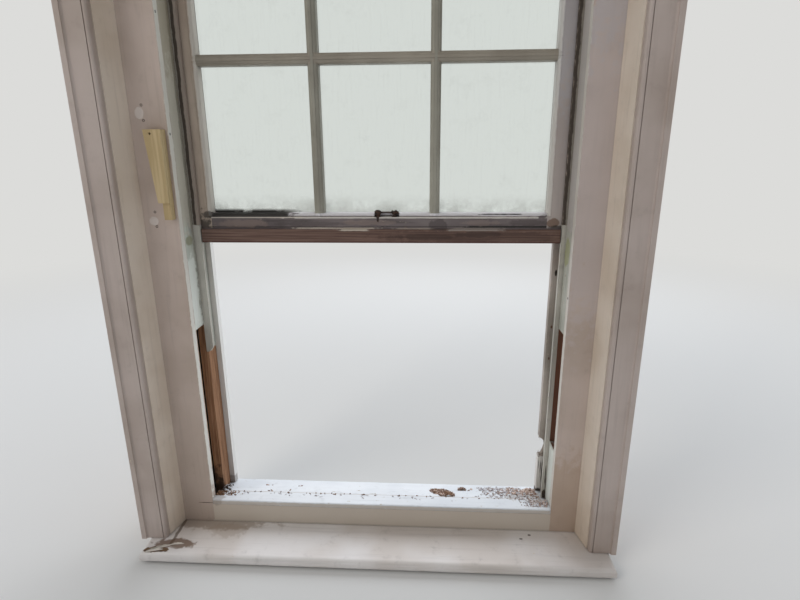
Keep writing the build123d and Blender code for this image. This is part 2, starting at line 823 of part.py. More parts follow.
def make_weight():
    top = weight_bottom + weight_length
    outline = make_face(Polyline((0, 0), (weight_radius - 4, 0), (weight_radius, 4), (weight_radius, weight_length - 12),
                                 (weight_neck_radius, weight_length),
                                 (weight_neck_radius, weight_length + weight_neck_length - 4),
                                 (weight_neck_radius - 4, weight_length + weight_neck_length),
                                 (0, weight_length + weight_neck_length), close=True))
    plane = Plane(origin=(weight_x, weight_y, weight_bottom), x_dir=(1, 0, 0), z_dir=(0, -1, 0))
    weight = revolve(plane * outline, Axis((weight_x, weight_y, weight_bottom), (0, 0, 1)))
    return weight - rod_y(weight_x, top + weight_neck_length / 2, weight_eye_radius,
                          weight_y - weight_radius, weight_y + weight_radius)


both("sash_weight", make_weight())


# Two packing blocks nailed to the left inner lining beside the opening

def make_upper_block():
    right = -half - block_setback
    foot = block_top - block_length
    outline = [(right, foot), (right, block_top), (right - block_top_width, block_top), (right - block_foot_width, foot)]
    return prism_y(outline, -block_thickness, 0)


def make_lower_block():
    right = -half - block_setback
    top = block_top - block_length
    return block(right - low_block_width, right, -low_block_thickness, 0, top - low_block_length, top)


upper_block = make_upper_block()
screw_hole = rod_y(-half - block_setback - block_top_width * 0.6, block_top - 9, 2.5, -block_thickness - 1, -block_thickness / 2)
save("packing_block_upper", upper_block - screw_hole)
save("packing_block_lower", make_lower_block())
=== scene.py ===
# %% [markdown]
# # Dressing an old box sash window
# A box sash window has two sliding sashes in a hollow wooden case. This one is half stripped for repair: the lower
# sash is out, the pockets of the weight boxes are open, and the paint is old. The CAD model gives every board its
# exact shape. This lesson adds what CAD leaves out: paint films, flaking, dirt, rot, splinters and small ironwork.

# %% Load the fixed frame
import math
import random

import bmesh
import bpy
from mathutils import Matrix, Vector


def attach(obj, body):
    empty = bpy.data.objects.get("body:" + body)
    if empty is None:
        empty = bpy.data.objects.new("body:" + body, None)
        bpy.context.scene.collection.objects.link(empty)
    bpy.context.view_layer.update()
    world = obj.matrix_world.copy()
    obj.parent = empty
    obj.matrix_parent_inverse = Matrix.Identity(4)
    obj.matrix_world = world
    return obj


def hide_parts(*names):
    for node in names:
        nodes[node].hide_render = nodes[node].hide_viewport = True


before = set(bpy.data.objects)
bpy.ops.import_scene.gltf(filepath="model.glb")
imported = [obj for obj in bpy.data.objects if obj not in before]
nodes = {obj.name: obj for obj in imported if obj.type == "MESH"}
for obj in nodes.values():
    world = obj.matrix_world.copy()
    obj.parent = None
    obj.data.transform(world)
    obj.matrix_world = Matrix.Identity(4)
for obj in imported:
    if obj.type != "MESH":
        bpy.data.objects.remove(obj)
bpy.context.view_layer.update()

# %% [markdown]
# ## The camera
# The photograph was taken by hand from inside the room, a little to the right of the middle, looking slightly down.
# A camera matrix built from three directions puts it there exactly: one column points right, one up, one backwards.

# %% Camera at the photograph's place
EYE = Vector((0.1263, -1.2486, 0.9963))
TURN, TILT, ROLL = 0.0564, 0.2763, -0.0065
LENS_PIXELS, IMAGE_WIDTH = 520, 800

ahead = Vector((-math.sin(TURN) * math.cos(TILT), math.cos(TURN) * math.cos(TILT), -math.sin(TILT)))
level = Vector((math.cos(TURN), math.sin(TURN), 0))
upright = level.cross(ahead)
right = level * math.cos(ROLL) + upright * math.sin(ROLL)
up = upright * math.cos(ROLL) - level * math.sin(ROLL)

bpy.ops.object.camera_add()
camera = bpy.context.object
camera.matrix_world = Matrix.Translation(EYE) @ Matrix((right, up, -ahead)).transposed().to_4x4()
camera.data.sensor_width = 36
camera.data.lens = 36 * LENS_PIXELS / IMAGE_WIDTH
camera.data.clip_start = 0.02
bpy.context.scene.camera = camera
print("lens", round(camera.data.lens, 1), "mm")

# %% [markdown]
# ## Two helpers for colour and nodes
# Paint makers give colours as sRGB hex values, and Blender's shaders want linear light, so one function turns one
# into the other. A second small function adds a node, sets it and links it in one line, which keeps a layered
# paint readable from the wood upwards.

# %% Colour and node helpers
def colour(code):
    """The linear colour of an sRGB hex value such as #d8d0c4."""
    parts = [int(code[start:start + 2], 16) / 255 for start in (1, 3, 5)]
    return [part / 12.92 if part <= 0.04045 else ((part + 0.055) / 1.055) ** 2.4 for part in parts] + [1]


def add(tree, kind, inputs=None, **settings):
    """Adds one node. Settings are its own; inputs maps a socket to a value, an output or a node's first output."""
    node = tree.nodes.new("ShaderNode" + kind)
    for name, value in settings.items():
        setattr(node, name, value)
    for key, value in (inputs or {}).items():
        if isinstance(value, bpy.types.Node):
            value = next(output for output in value.outputs if output.enabled)
        if isinstance(value, bpy.types.NodeSocket):
            tree.links.new(value, node.inputs[key])
        else:
            node.inputs[key].default_value = value
    return node


def per(millimetres):
    """How many features of that size fit in a metre: the scale of a pattern on coordinates in metres."""
    return 1000 / millimetres


def new_material(name):
    """An empty material, its tree, and the object's own coordinates in metres."""
    material = bpy.data.materials.new(name)
    material.use_nodes = True
    tree = material.node_tree
    tree.nodes.clear()
    return material, tree, add(tree, "TexCoord").outputs["Object"]


print("cream paint in linear light", [round(part, 3) for part in colour("#d8d0c4")[:3]])

# %% [markdown]
# ## Floor, backdrop and light
# The window stands on a plain pale floor. Near it the floor takes real light and keeps its shadow; further away it
# melts into the same flat tone as the world, so that no horizon line cuts through the panes. The light is soft:
# a wide lamp in the room, and a wider one outside, as daylight comes through a window from behind.

# %% Floor and world
BACKDROP = "#dcdcda"
SOFTLY = {"interpolation_type": "SMOOTHSTEP"}


def seen_by_camera(tree):
    """1 for rays from the camera, whether straight, mirrored or through glass."""
    rays = add(tree, "LightPath").outputs
    seen = add(tree, "Math", {0: rays["Is Camera Ray"], 1: rays["Is Glossy Ray"]}, operation="MAXIMUM")
    return add(tree, "Math", {0: seen, 1: rays["Is Transmission Ray"]}, operation="MAXIMUM")


bpy.ops.object.select_all(action="DESELECT")
bpy.ops.mesh.primitive_circle_add(vertices=96, radius=40, fill_type="NGON", location=(0, 0, -0.0005))
floor = bpy.context.object
floor.name = "floor"

floor_material, tree, place = new_material("pale_matt_floor")
reach = add(tree, "VectorMath", {0: place}, operation="LENGTH")
fade = add(tree, "MapRange", {"Value": reach, "From Min": 1.2, "From Max": 5.0}, **SOFTLY)
melt = add(tree, "Math", {0: fade, 1: seen_by_camera(tree)}, operation="MULTIPLY")
matt = add(tree, "BsdfDiffuse", {"Color": colour("#e2e2e0"), "Roughness": 1.0})
flat = add(tree, "Emission", {"Color": colour(BACKDROP), "Strength": 1.0})
add(tree, "OutputMaterial", {"Surface": add(tree, "MixShader", {0: melt, 1: matt, 2: flat})})
floor.data.materials.append(floor_material)

world = bpy.data.worlds.new("soft_studio")
bpy.context.scene.world = world
world.use_nodes = True
tree = world.node_tree
tree.nodes.clear()
facing = add(tree, "SeparateXYZ", {0: add(tree, "TexCoord").outputs["Generated"]}).outputs["Y"]
outside = add(tree, "MapRange", {"Value": facing, "From Min": -0.5, "From Max": 0.6, "To Min": 0.42, "To Max": 0.98},
              **SOFTLY)
fill = add(tree, "Background", {"Color": colour("#eef1f6"), "Strength": outside})
plain = add(tree, "Background", {"Color": colour(BACKDROP), "Strength": 1.0})
add(tree, "OutputWorld", {"Surface": add(tree, "MixShader", {0: seen_by_camera(tree), 1: fill, 2: plain})})
bpy.context.scene.view_settings.view_transform = "Standard"
print("floor", floor.dimensions.x, "m across")

# %% Lamps
def soft_lamp(name, at, towards, width, watts, tint, mirrored):
    """A square area lamp at a point, turned to face another; mirrored says if glossy things show it."""
    bpy.ops.object.light_add(type="AREA", location=at)
    lamp = bpy.context.object
    lamp.name = name
    lamp.data.shape = "SQUARE"
    lamp.data.size = width
    lamp.data.energy = watts
    lamp.data.color = colour(tint)[:3]
    lamp.rotation_euler = (Vector(towards) - Vector(at)).to_track_quat("-Z", "Y").to_euler()
    lamp.visible_transmission = False
    lamp.visible_glossy = mirrored
    print(name, watts, "W over", width, "m")


soft_lamp("room_light", (-3.2, -2.9, 3.1), (0, 0, 0.8), 2.4, 44, "#fff6ec", True)
soft_lamp("daylight_outside", (0.4, 2.6, 3.0), (0, 0, 0.5), 3.2, 112, "#f2f7ff", False)

# %% [markdown]
# ## Painted joinery in layers
# Old joinery paint is a stack: bare softwood, a chalky cream undercoat and several coats of oil gloss, laid on by
# brush along the grain. It yellows, collects grime in corners, which are also darkened as painted shade, rubs thin on
# arrises and flakes where damp gets under it. One function builds that stack with the real sizes in millimetres;
# each board then gets its own amounts.

# %% Stains and flaked places by position
def spot(at, size, tint, strength=1.0, edge=0.35, bare=0.0, box=False):
    """A place on a board: its middle and half sizes in millimetres, its colour, and how soft its edge is."""
    return {"at": at, "size": size, "tint": tint, "strength": strength, "edge": edge, "bare": bare, "box": box}


def strip(*facts, **more):
    """A spot with straight sides, such as a band along a board."""
    return spot(*facts, box=True, **more)


def spot_mask(position, rough, mark):
    """The node output that is 1 inside a spot and falls to 0 over its ragged edge."""
    tree = position.id_data
    scale = [per(value) for value in mark["size"]]
    shift = [-middle / 1000 * factor for middle, factor in zip(mark["at"], scale)]
    local = add(tree, "Mapping", {"Vector": position, "Location": shift, "Scale": scale})
    if mark["box"]:
        axes = add(tree, "SeparateXYZ", {0: add(tree, "VectorMath", {0: local}, operation="ABSOLUTE")}).outputs
        far = add(tree, "Math", {0: axes[0], 1: axes[1]}, operation="MAXIMUM")
        far = add(tree, "Math", {0: far, 1: axes[2]}, operation="MAXIMUM")
    else:
        far = add(tree, "VectorMath", {0: local}, operation="LENGTH")
    wander = add(tree, "Math", {0: rough, 1: mark["edge"] * 2, 2: far}, operation="MULTIPLY_ADD")
    return add(tree, "MapRange", {"Value": wander, "From Min": 1 + mark["edge"] * 1.15,
                                  "From Max": 1 + mark["edge"] * 0.75, "To Max": mark["strength"]}, **SOFTLY)


print("a spot of 20 mm with an edge of 0.35 fades over", round(20 * 0.35 * 0.40, 1), "mm")

# %% Patterns, coats and relief
PRODUCT, SUM = {"operation": "MULTIPLY", "use_clamp": True}, {"operation": "ADD", "use_clamp": True}
COLOURS = {"data_type": "RGBA"}


def stretched(position, across, along, grain, detail=2.0, roughness=0.5):
    """A pattern drawn out along the grain: features so many millimetres wide and so many long."""
    tree = position.id_data
    scale = [per(along if axis == grain else across) for axis in "xyz"]
    laid = add(tree, "Mapping", {"Vector": position, "Scale": scale})
    return add(tree, "TexNoise", {"Vector": laid, "Scale": 1.0, "Detail": detail, "Roughness": roughness})


def coat(below, above, pattern, low, high, share=None):
    """Lays one colour over another where a pattern rises from low to high, or by a share of that."""
    tree = pattern.id_data
    amount = add(tree, "MapRange", {"Value": pattern, "From Min": low, "From Max": high}, **SOFTLY)
    if share is not None:
        amount = add(tree, "Math", {0: amount, 1: share}, **PRODUCT)
    inks = [colour(ink) if isinstance(ink, str) else ink for ink in (below, above)]
    return add(tree, "Mix", {0: amount, 6: inks[0], 7: inks[1]}, **COLOURS)


def added_up(*layers):
    """Adds up patterns, each times its share."""
    tree = layers[0][0].id_data
    parts = [add(tree, "Math", {0: pattern, 1: share}, **PRODUCT) for pattern, share in layers]
    total = parts[0]
    for part in parts[1:]:
        total = add(tree, "Math", {0: total, 1: part}, **SUM)
    return total


def surface(tree, inputs, relief=None, strength=1.0, millimetres=1.0):
    """Ends a material with its shader; relief from 0 to 1 stands for a height of so many millimetres."""
    if relief is not None:
        inputs["Normal"] = add(tree, "Bump", {"Strength": strength, "Distance": millimetres / 1000, "Height": relief})
    add(tree, "OutputMaterial", {"Surface": add(tree, "BsdfPrincipled", inputs)})


print("rings of 2.5 mm come", per(2.5), "to the metre")

# %% The layered paint
def old_paint(name, paint, aged, under="#cbbfa8", wood="#7d664f", wood_dark="#4c3a2b", grain="z", flaking=0.0,
              flake_mm=16, streaks=0.25, dirt=0.5, dirt_tint="#352a21", gloss=0.38, arris=0.5, spots=()):
    """Oil paint brushed over softwood. flaking is the share of the film that is gone, arris how much edges rub."""
    material, tree, position = new_material(name)

    # broad yellowing over 200 mm, and grime that ran down or was wiped along the grain in 9 mm streaks
    broad = add(tree, "TexNoise", {"Vector": position, "Scale": per(200), "Detail": 3.0})
    film = coat(paint, aged, broad, 0.36, 0.66)
    film = coat(film, dirt_tint, stretched(position, 9, 190, grain, 3.0, 0.6), 0.50, 0.78, streaks)
    cloud = add(tree, "TexNoise", {"Vector": position, "Scale": per(34), "Detail": 5.0, "Roughness": 0.65})
    film = coat(film, dirt_tint, cloud, 0.54, 0.80, 0.35 * dirt)

    # bare softwood: year rings 2.5 mm apart drawn out along the grain
    rings = stretched(position, 2.5, 130, grain, 3.0, 0.6)
    timber = coat(wood_dark, wood, rings, 0.36, 0.64)

    # where the film is gone: flakes of flake_mm, more of them on rubbed arrises and in the marked spots
    chip = stretched(position, flake_mm, flake_mm * 2.6, grain, 7.0, 0.62)
    rim = add(tree, "AmbientOcclusion", {"Distance": 0.004}, samples=4, inside=True, only_local=True).outputs["AO"]
    sharp = add(tree, "MapRange", {"Value": rim, "From Min": 0.62, "From Max": 0.25}, **SOFTLY)
    gone = add(tree, "Math", {0: sharp, 1: 0.16 * arris, 2: chip}, operation="MULTIPLY_ADD")
    rough_edge = add(tree, "TexNoise", {"Vector": position, "Scale": per(20), "Detail": 6.0, "Roughness": 0.65})
    masks = [spot_mask(position, rough_edge, mark) for mark in spots]
    for mark, mask in zip(spots, masks):
        if mark["bare"]:
            gone = add(tree, "Math", {0: mask, 1: mark["bare"], 2: gone}, operation="MULTIPLY_ADD")
    limit = 0.80 - 0.55 * flaking
    thin = add(tree, "MapRange", {"Value": gone, "From Min": limit - 0.035, "From Max": limit - 0.015}, **SOFTLY)
    bare = add(tree, "MapRange", {"Value": gone, "From Min": limit + 0.012, "From Max": limit + 0.030}, **SOFTLY)
    face = add(tree, "Mix", {0: thin, 6: film, 7: colour(under)}, **COLOURS)
    face = add(tree, "Mix", {0: bare, 6: face, 7: timber}, **COLOURS)
    for mark, mask in zip(spots, masks):
        if mark["tint"]:
            face = add(tree, "Mix", {0: mask, 6: face, 7: colour(mark["tint"])}, **COLOURS)

    # the colour darkens towards dirt_tint where neighbouring boards stand within 14 mm: grime, and painted shade in
    # the corners
    nook = add(tree, "AmbientOcclusion", {"Distance": 0.014}, samples=4).outputs["AO"]
    corner = add(tree, "MapRange", {"Value": nook, "From Min": 0.66, "From Max": 0.22}, **SOFTLY)
    grime = add(tree, "Math", {0: corner, 1: dirt}, **PRODUCT)
    face = add(tree, "Mix", {0: grime, 6: face, 7: colour(dirt_tint)}, **COLOURS)

    # relief in millimetres: brush marks 1.3 mm apart, the edge of the paint film, and the grain of bare wood
    whole = add(tree, "Math", {0: 1.0, 1: thin}, operation="SUBTRACT", use_clamp=True)
    open_grain = add(tree, "Math", {0: rings, 1: bare}, **PRODUCT)
    relief = added_up((stretched(position, 1.3, 70, grain), 0.10), (whole, 0.18), (open_grain, 0.22), (cloud, 0.12))
    worn = add(tree, "MapRange", {"Value": thin, "To Min": gloss, "To Max": 0.82})
    dull = add(tree, "Math", {0: worn, 1: added_up((cloud, 0.22), (corner, 0.3))}, **SUM)
    surface(tree, {"Base Color": face, "Roughness": dull, "IOR": 1.5}, relief)
    print(name, len(tree.nodes), "nodes")
    return material


def paint_node(material, *names):
    """Gives a material to the solids with those names."""
    for name in names:
        mesh = nodes[name].data
        mesh.materials.clear()
        mesh.materials.append(material)

# %% [markdown]
# ## The room side: linings, architraves and board
# Inside, the window was kept in cream oil paint over smooth boards. It is whole, yellowed and a little grimy, with
# brush marks along each board. The window board under it has water stains at its left end, where rain ran in.

# %% Cream paint of the room side
CREAM = {"flaking": 0.06, "dirt": 0.35, "gloss": 0.36}
EDGE = 1.2
# one cream paint in four tones, lightest on the reveals and darker on the head, the linings and the architraves:
# painted light and shade
paint_node(old_paint("cream_oil_paint_on_reveals", "#ddd0c1", "#cebeac", streaks=0.10, **CREAM),
           "reveal_lining_left", "reveal_lining_right")
paint_node(old_paint("cream_oil_paint_on_head", "#c9b8ab", "#b8a596", grain="x", streaks=0.08, **CREAM),
           "soffit_lining", "architrave_head", "head_inner_lining")
cream_lining = old_paint(
    "cream_oil_paint_on_linings", "#c2b1a6", "#b1a093", under="#d9d4c8", wood="#8a6d50", streaks=0.10, arris=0.4,
    **CREAM, spots=[
        # painted daylight: cooler, bluer tints on the upper part of the right lining
        strip((500, -65, 1200), (60, 20, 600), "#bdb2b0", 0.5, edge=0.6),
        strip((500, -65, 1550), (60, 20, 360), "#b3b1b5", 0.4, edge=0.9),
        # the lining edges beside the channels: whiter paint, and painted light from outside, brighter on the left
        strip((-450, -65, 900), (EDGE, 9, 900), "#dedcd3", 0.9, edge=0.6),
        strip((450, -65, 900), (EDGE, 9, 900), "#cfccc2", 0.8, edge=0.6),
        spot((-468, -75, 88.5), (20, 3, 1.6), "#3d2f26", 0.8, edge=0.8),
        spot((470, -75, 100), (100, 4, 160), "#a78a6b", 0.35, edge=0.9)])
paint_node(cream_lining, "inner_lining_left", "inner_lining_right")
paint_node(old_paint("cream_oil_paint_on_architraves", "#b9aba3", "#a8998f", streaks=0.10, **CREAM),
           "architrave_left", "architrave_right")

board_paint = old_paint(
    "white_gloss_on_window_board", "#dfdbd8", "#cfc7c0", grain="x", flaking=0.12, flake_mm=18, streaks=0.12, dirt=0.7,
    gloss=0.28, spots=[
        spot((-450, -80, 32), (160, 30, 10), "#8b7865", 0.6, edge=0.9),
        spot((-515, -165, 32), (55, 17, 20), "#6d5440", 0.85, edge=0.9),
        spot((-560, -188, 32), (36, 10, 20), None, 1.0, bare=0.6, edge=0.9),
        strip((-474, -56.5, 32), (60, 2.6, 10), "#1f1712", 0.95, edge=0.6),
        spot((-530, -115, 32), (5, 55, 10), "#5d4a3a", 0.75, edge=0.9),
        spot((-400, -110, 32), (50, 30, 10), "#9d8b7a", 0.35, edge=0.9),
        spot((395, -92, 32), (4, 3, 10), "#3c2d22", 0.8),
        spot((371.5, -107, 32), (5, 3, 10), "#3c2d22", 0.8),
        spot((467, -69.5, 32), (6, 3, 10), "#3c2d22", 0.8),
        spot((512, -67, 32), (5, 4, 10), "#3c2d22", 0.8)])
paint_node(board_paint, "window_board")

# %% [markdown]
# ## The channels
# Behind the linings run the channels in which the sashes slid. They were painted once or twice with whatever was in
# the tin, so they are grey-green, thin and streaked, and the paint scales off in long flakes.

# %% Channel faces
# RAW lays a spot bare to the wood; CUT is half the depth of the sawn edges beside a stile's face
RAW, CUT = 0.6, 10.8
channel_left = old_paint(
    "grey_green_paint_on_left_channel", "#cbcfc4", "#b1b6ab", under="#d6d0be", wood="#ab8161", wood_dark="#785338",
    flaking=0.24, flake_mm=9, streaks=0.45, dirt=0.6, gloss=0.45, spots=[
        strip((-450 - CUT - 0.8, 0, 800), (CUT, 300, 1000), None, edge=0.01, bare=RAW),
        strip((-450, 23, 200), (30, 30, 300), None, edge=0.12, bare=RAW),
        spot((-460, -35, 70), (60, 46, 110), "#2c1f16", 0.85, edge=0.7),
        # painted light: a paler band on the lower channel above the pocket
        strip((-450, -30, 665), (10, 30, 90), "#e6eae3", 0.7, edge=0.4),
        spot((-450, -35, 795), (10, 20, 12), "#7d7a4c", 0.6, edge=0.8),
        spot((-450, -20, 860), (10, 20, 50), "#7f8488", 0.55, edge=0.7),
        strip((-450, 0, 1280), (10, 80, 460), "#c6c0b1", 0.85, edge=0.2),
        strip((-450, -12, 1050), (10, 6, 400), "#857e71", 0.7, edge=0.9),
        strip((-450, -30, 1460), (10, 50, 300), "#a1967f", 0.5, edge=0.9)])
channel_right = old_paint(
    "grey_green_paint_on_right_channel", "#b9b9ad", "#a1a195", under="#cdc7b5", wood="#855a42", wood_dark="#593527",
    flaking=0.24, flake_mm=9, streaks=0.45, dirt=0.6, gloss=0.45, spots=[
        strip((450 + CUT + 0.8, 0, 800), (CUT, 300, 1000), None, edge=0.01, bare=RAW),
        strip((450, -30, 170), (10, 30, 85), "#e6eae3", 0.6, edge=0.3),
        spot((450, -28, 768), (10, 20, 34), "#8f8f4e", 0.6, edge=0.6),
        strip((450, 0, 1280), (10, 80, 460), "#b9b2ae", 0.85, edge=0.2),
        spot((450, 50, 130), (10, 2.8, 40), "#1f1612", 0.85, edge=0.7),
        spot((450, 26, 740), (10, 24, 50), "#7a5a40", 0.7, edge=0.5, bare=0.4)])
paint_node(channel_left, "pulley_stile_left")
paint_node(channel_right, "pulley_stile_right")

# %% Parting beads
bead_paint = old_paint(
    "grey_white_paint_on_parting_beads", "#c2beb4", "#a8a49a", wood="#66503c", wood_dark="#392b20", flaking=0.20,
    flake_mm=8, streaks=0.30, dirt=0.55, gloss=0.5, arris=0.8, spots=[
        strip((0, -2, 1240), (600, 30, 410), "#7f786d", 0.80, edge=0.03),
        strip((0, -2, 1240), (446.4, 30, 410), "#3b322b", 0.85, edge=0.008, bare=RAW),
        strip((0, -2, 1240), (439.2, 30, 410), "#a3958a", 0.85, edge=0.008),
        strip((456, -7, 420), (5.6, 6, 160), "#6a4433", 0.85, edge=0.02, bare=RAW),
        strip((-456, -7, 420), (5.6, 6, 160), "#876245", 0.85, edge=0.02, bare=RAW),
        spot((446.2, -7, 158), (1.3, 4, 32), "#2a1f18", 0.95, edge=0.5),
        spot((448, -7, 122), (1, 4, 26), "#2a1f18", 0.9, edge=0.5),
        spot((446, -4, 97), (5.5, 8, 16), "#2a1d15", 0.9, edge=0.9, bare=0.25),
        spot((453, -4, 90), (7, 8, 10), "#33241b", 0.9, edge=0.9, bare=0.25)])
paint_node(bead_paint, "parting_bead_left", "parting_bead_right", "parting_bead_head")

# %% Outer linings
outer_left = old_paint(
    "weathered_white_on_left_outer_lining", "#d5d1cc", "#c0bab3", flaking=0.12, flake_mm=12, streaks=0.2, dirt=0.25,
    gloss=0.5, arris=0.6, spots=[
        # the edge by the opening: chipped near-white paint, and a painted highlight
        strip((-436, 60, 900), (0.7, 30, 900), "#efeeea", 0.85, edge=0.1),
        spot((-443, 60, 72), (20, 30, 18), "#4b392a", 0.5, edge=0.8, bare=0.1)])
outer_right = old_paint(
    "weathered_white_on_right_outer_lining", "#b9afa7", "#958b82", wood="#8f857c", wood_dark="#6d6259", flaking=0.24,
    flake_mm=10, streaks=0.35, dirt=0.35, gloss=0.55, arris=0.8, spots=[
        strip((445, 59, 125), (30, 9.5, 53), "#efebe6", 0.85, edge=0.12),
        spot((440, 58, 205), (16, 30, 32), "#5a4a3e", 0.55, edge=0.8, bare=0.5),
        spot((445.2, 57, 141), (1.6, 9, 32), "#1d1511", 0.9, edge=0.6),
        spot((439.7, 56, 152), (0.8, 8, 28), "#2a1f18", 0.85, edge=0.6),
        spot((449.2, 52, 130), (1, 4, 36), "#1d1511", 0.9, edge=0.6),
        # painted shade: a dark void in the rotted foot
        spot((442, 60, 68), (8, 20, 7), "#2c1f17", 0.85, edge=0.9),
        spot((447.3, 50.5, 701.7), (3, 2, 8), "#1c1511", 1.0, edge=0.2),
        spot((446.4, 50.5, 558.1), (2, 2, 4), "#54301c", 1.0, edge=0.2),
        spot((445.7, 50.5, 470.3), (2, 2, 4), "#54301c", 1.0, edge=0.2)])
paint_node(outer_left, "outer_lining_left", "head_outer_lining")
paint_node(outer_right, "outer_lining_right")

# %% [markdown]
# ## The upper sash
# The sash has the thickest build-up of paint and the most dirt, because hands, flies and condensation reach it. Its
# bottom rail, the meeting rail, met the lower sash and rubbed bare; the glass above it has a black line of mould.

# %% Paint of the stiles and bars
stile_paint = old_paint(
    "old_white_gloss_on_sash_stiles", "#b9a999", "#a39181", flaking=0.08, flake_mm=12, streaks=0.20, dirt=0.6,
    gloss=0.34, spots=[
        # painted daylight: cooler, bluer tints on the upper right stile
        strip((440, 20, 1200), (50, 50, 600), "#b0aaab", 0.55, edge=0.01),
        strip((440, 20, 1500), (50, 50, 420), "#a9abb3", 0.4, edge=0.9),
        # painted highlight: the glazing moulding, lit from outside
        strip((0, 20, 1200), (412, 30, 350), "#d2d1c9", 0.55, edge=0.01),
        spot((-432, 4, 800), (30, 20, 50), "#2a211a", 0.85, edge=0.9),
        spot((-410, 4, 853), (20, 20, 8), "#1d1713", 0.8, edge=0.9),
        spot((420, 4, 833), (16, 20, 10), "#6a4c35", 0.8, edge=0.7),
        spot((440, 4, 822), (30, 20, 6), "#1d1713", 0.8, edge=0.9)])
bar_paint = old_paint("old_white_gloss_on_glazing_bars", "#9d9a8d", "#858175", flaking=0.10, flake_mm=7,
                      streaks=0.20, dirt=0.7, gloss=0.34, arris=0.4)
cross_paint = old_paint("old_white_gloss_on_cross_bars", "#9f9789", "#867e71", grain="x", flaking=0.12, flake_mm=7,
                        streaks=0.20, dirt=0.7, gloss=0.34, arris=0.4)
paint_node(stile_paint, "sash_stile_left", "sash_stile_right")
paint_node(bar_paint, "glazing_bar_1", "glazing_bar_2")
paint_node(cross_paint, "cross_bar_1", "cross_bar_2", "cross_bar_3", "sash_top_rail")

# %% Paint of the meeting rail
rail_paint = old_paint(
    "worn_paint_on_meeting_rail", "#766c6b", "#574e4e", under="#968b80", wood="#775f54", wood_dark="#5b463e",
    grain="x", flaking=0.20, flake_mm=8, streaks=0.65, dirt=0.7, dirt_tint="#2a2320", gloss=0.5, arris=0.3, spots=[
        strip((0, -4, 802.5), (460, 6, 16.5), None, edge=0.10, bare=RAW),
        spot((220, -5, 802), (240, 6, 15), "#46352f", 0.45, edge=0.9),
        spot((115, -5, 801), (75, 6, 6), "#332723", 0.45, edge=0.9),
        spot((240, -5, 807), (60, 6, 7), "#332723", 0.45, edge=0.9),
        strip((0, -4, 787), (460, 20, 2.5), "#4a2b24", 0.7, edge=0.6),
        # painted highlights along the top arris of the bare lip
        strip((-100, 0, 820.5), (100, 10, 1.4), "#d0c6b8", 0.95, edge=0.9),
        strip((-55, -3, 818), (35, 10, 3.2), "#c2b7a8", 0.9, edge=0.7),
        strip((90, 0, 820), (50, 10, 1), "#bdb2a4", 0.8, edge=0.9),
        strip((240, 0, 818.5), (65, 10, 3.4), "#9f958d", 0.75, edge=0.7),
        strip((330, 10, 824.5), (120, 20, 2.4), "#15110f", 0.95, edge=0.5),
        strip((120, 10, 824.5), (100, 20, 1), "#241c18", 0.7, edge=0.9),
        strip((-200, 10, 823.5), (200, 20, 1.2), "#241c18", 0.7, edge=0.9),
        spot((-330, 0, 832), (70, 20, 10), "#85736a", 0.55, edge=0.9),
        spot((-160, 0, 831), (110, 20, 6), "#3e3534", 0.45, edge=0.9),
        spot((-20, 0, 834), (70, 20, 7), "#8d7c74", 0.50, edge=0.9),
        spot((150, 0, 828), (22, 20, 16), "#3a3130", 0.60, edge=0.9),
        spot((250, 0, 833), (50, 20, 7), "#85756e", 0.50, edge=0.9),
        spot((360, 0, 834), (50, 20, 8), "#453b3a", 0.55, edge=0.9),
        # painted highlights: the slope of the top moulding and the arris below it, lit from outside
        strip((100, 20, 854), (310, 30, 4.2), "#e3e0e2", 0.85, edge=0.2),
        strip((100, 6, 846.2), (310, 12, 2.2), "#d8d2ca", 0.85, edge=0.5),
        strip((-300, 3, 846.2), (120, 10, 1.3), "#cfc6ba", 0.85, edge=0.6),
        strip((10, 20, 849.4), (230, 30, 0.9), "#1a1613", 0.9, edge=0.9),
        strip((295, 30, 853.5), (50, 30, 1.2), "#14110f", 0.95, edge=0.9),
        strip((-310, 20, 853), (92, 30, 5.2), "#16130f", 0.95, edge=0.25)])
paint_node(rail_paint, "sash_meeting_rail")

# %% [markdown]
# ## The sill
# The sill outside the sash line took rain and sun, and was painted bright white more often than the rest. It is
# chipped along the front, filled with dirt in its corners, and scattered with brown litter.

# %% Exterior sill paint
sill_paint = old_paint(
    "white_exterior_gloss_on_sill", "#dfe2e5", "#cfd3d7", under="#b7ac99", wood="#77604a", grain="x", flaking=0.20,
    flake_mm=9, streaks=0.12, dirt=0.7, gloss=0.30, arris=0.8, spots=[
        strip((0, -79, 40), (700, 4.2, 47.2), "#c3b8aa", 1.0, edge=0.01),
        strip((0, -82, 93), (700, 3.4, 6), "#bdb4aa", 0.9, edge=0.25),
        spot((-455, -30, 98), (34, 26, 20), "#33281f", 0.9, edge=0.9),
        spot((400, 10, 94), (80, 50, 20), "#6d5a48", 0.5, edge=0.9),
        # painted shadow under the nosing
        strip((0, -75.5, 86.2), (520, 3, 1), "#3d2f26", 0.85, edge=0.4),
        spot((-440, -60, 99), (20, 30, 20), "#8d8075", 0.5, edge=0.9),
        strip((0, -30.5, 97), (440, 2.4, 10), "#a89a8c", 0.75, edge=0.6)])
paint_node(sill_paint, "sill")

# %% [markdown]
# ## Bare wood
# The insides of the weight boxes were never painted: rough-sawn softwood gone brown with a century of dust. The two
# packing blocks are new pine, pale yellow, with the grain running up.

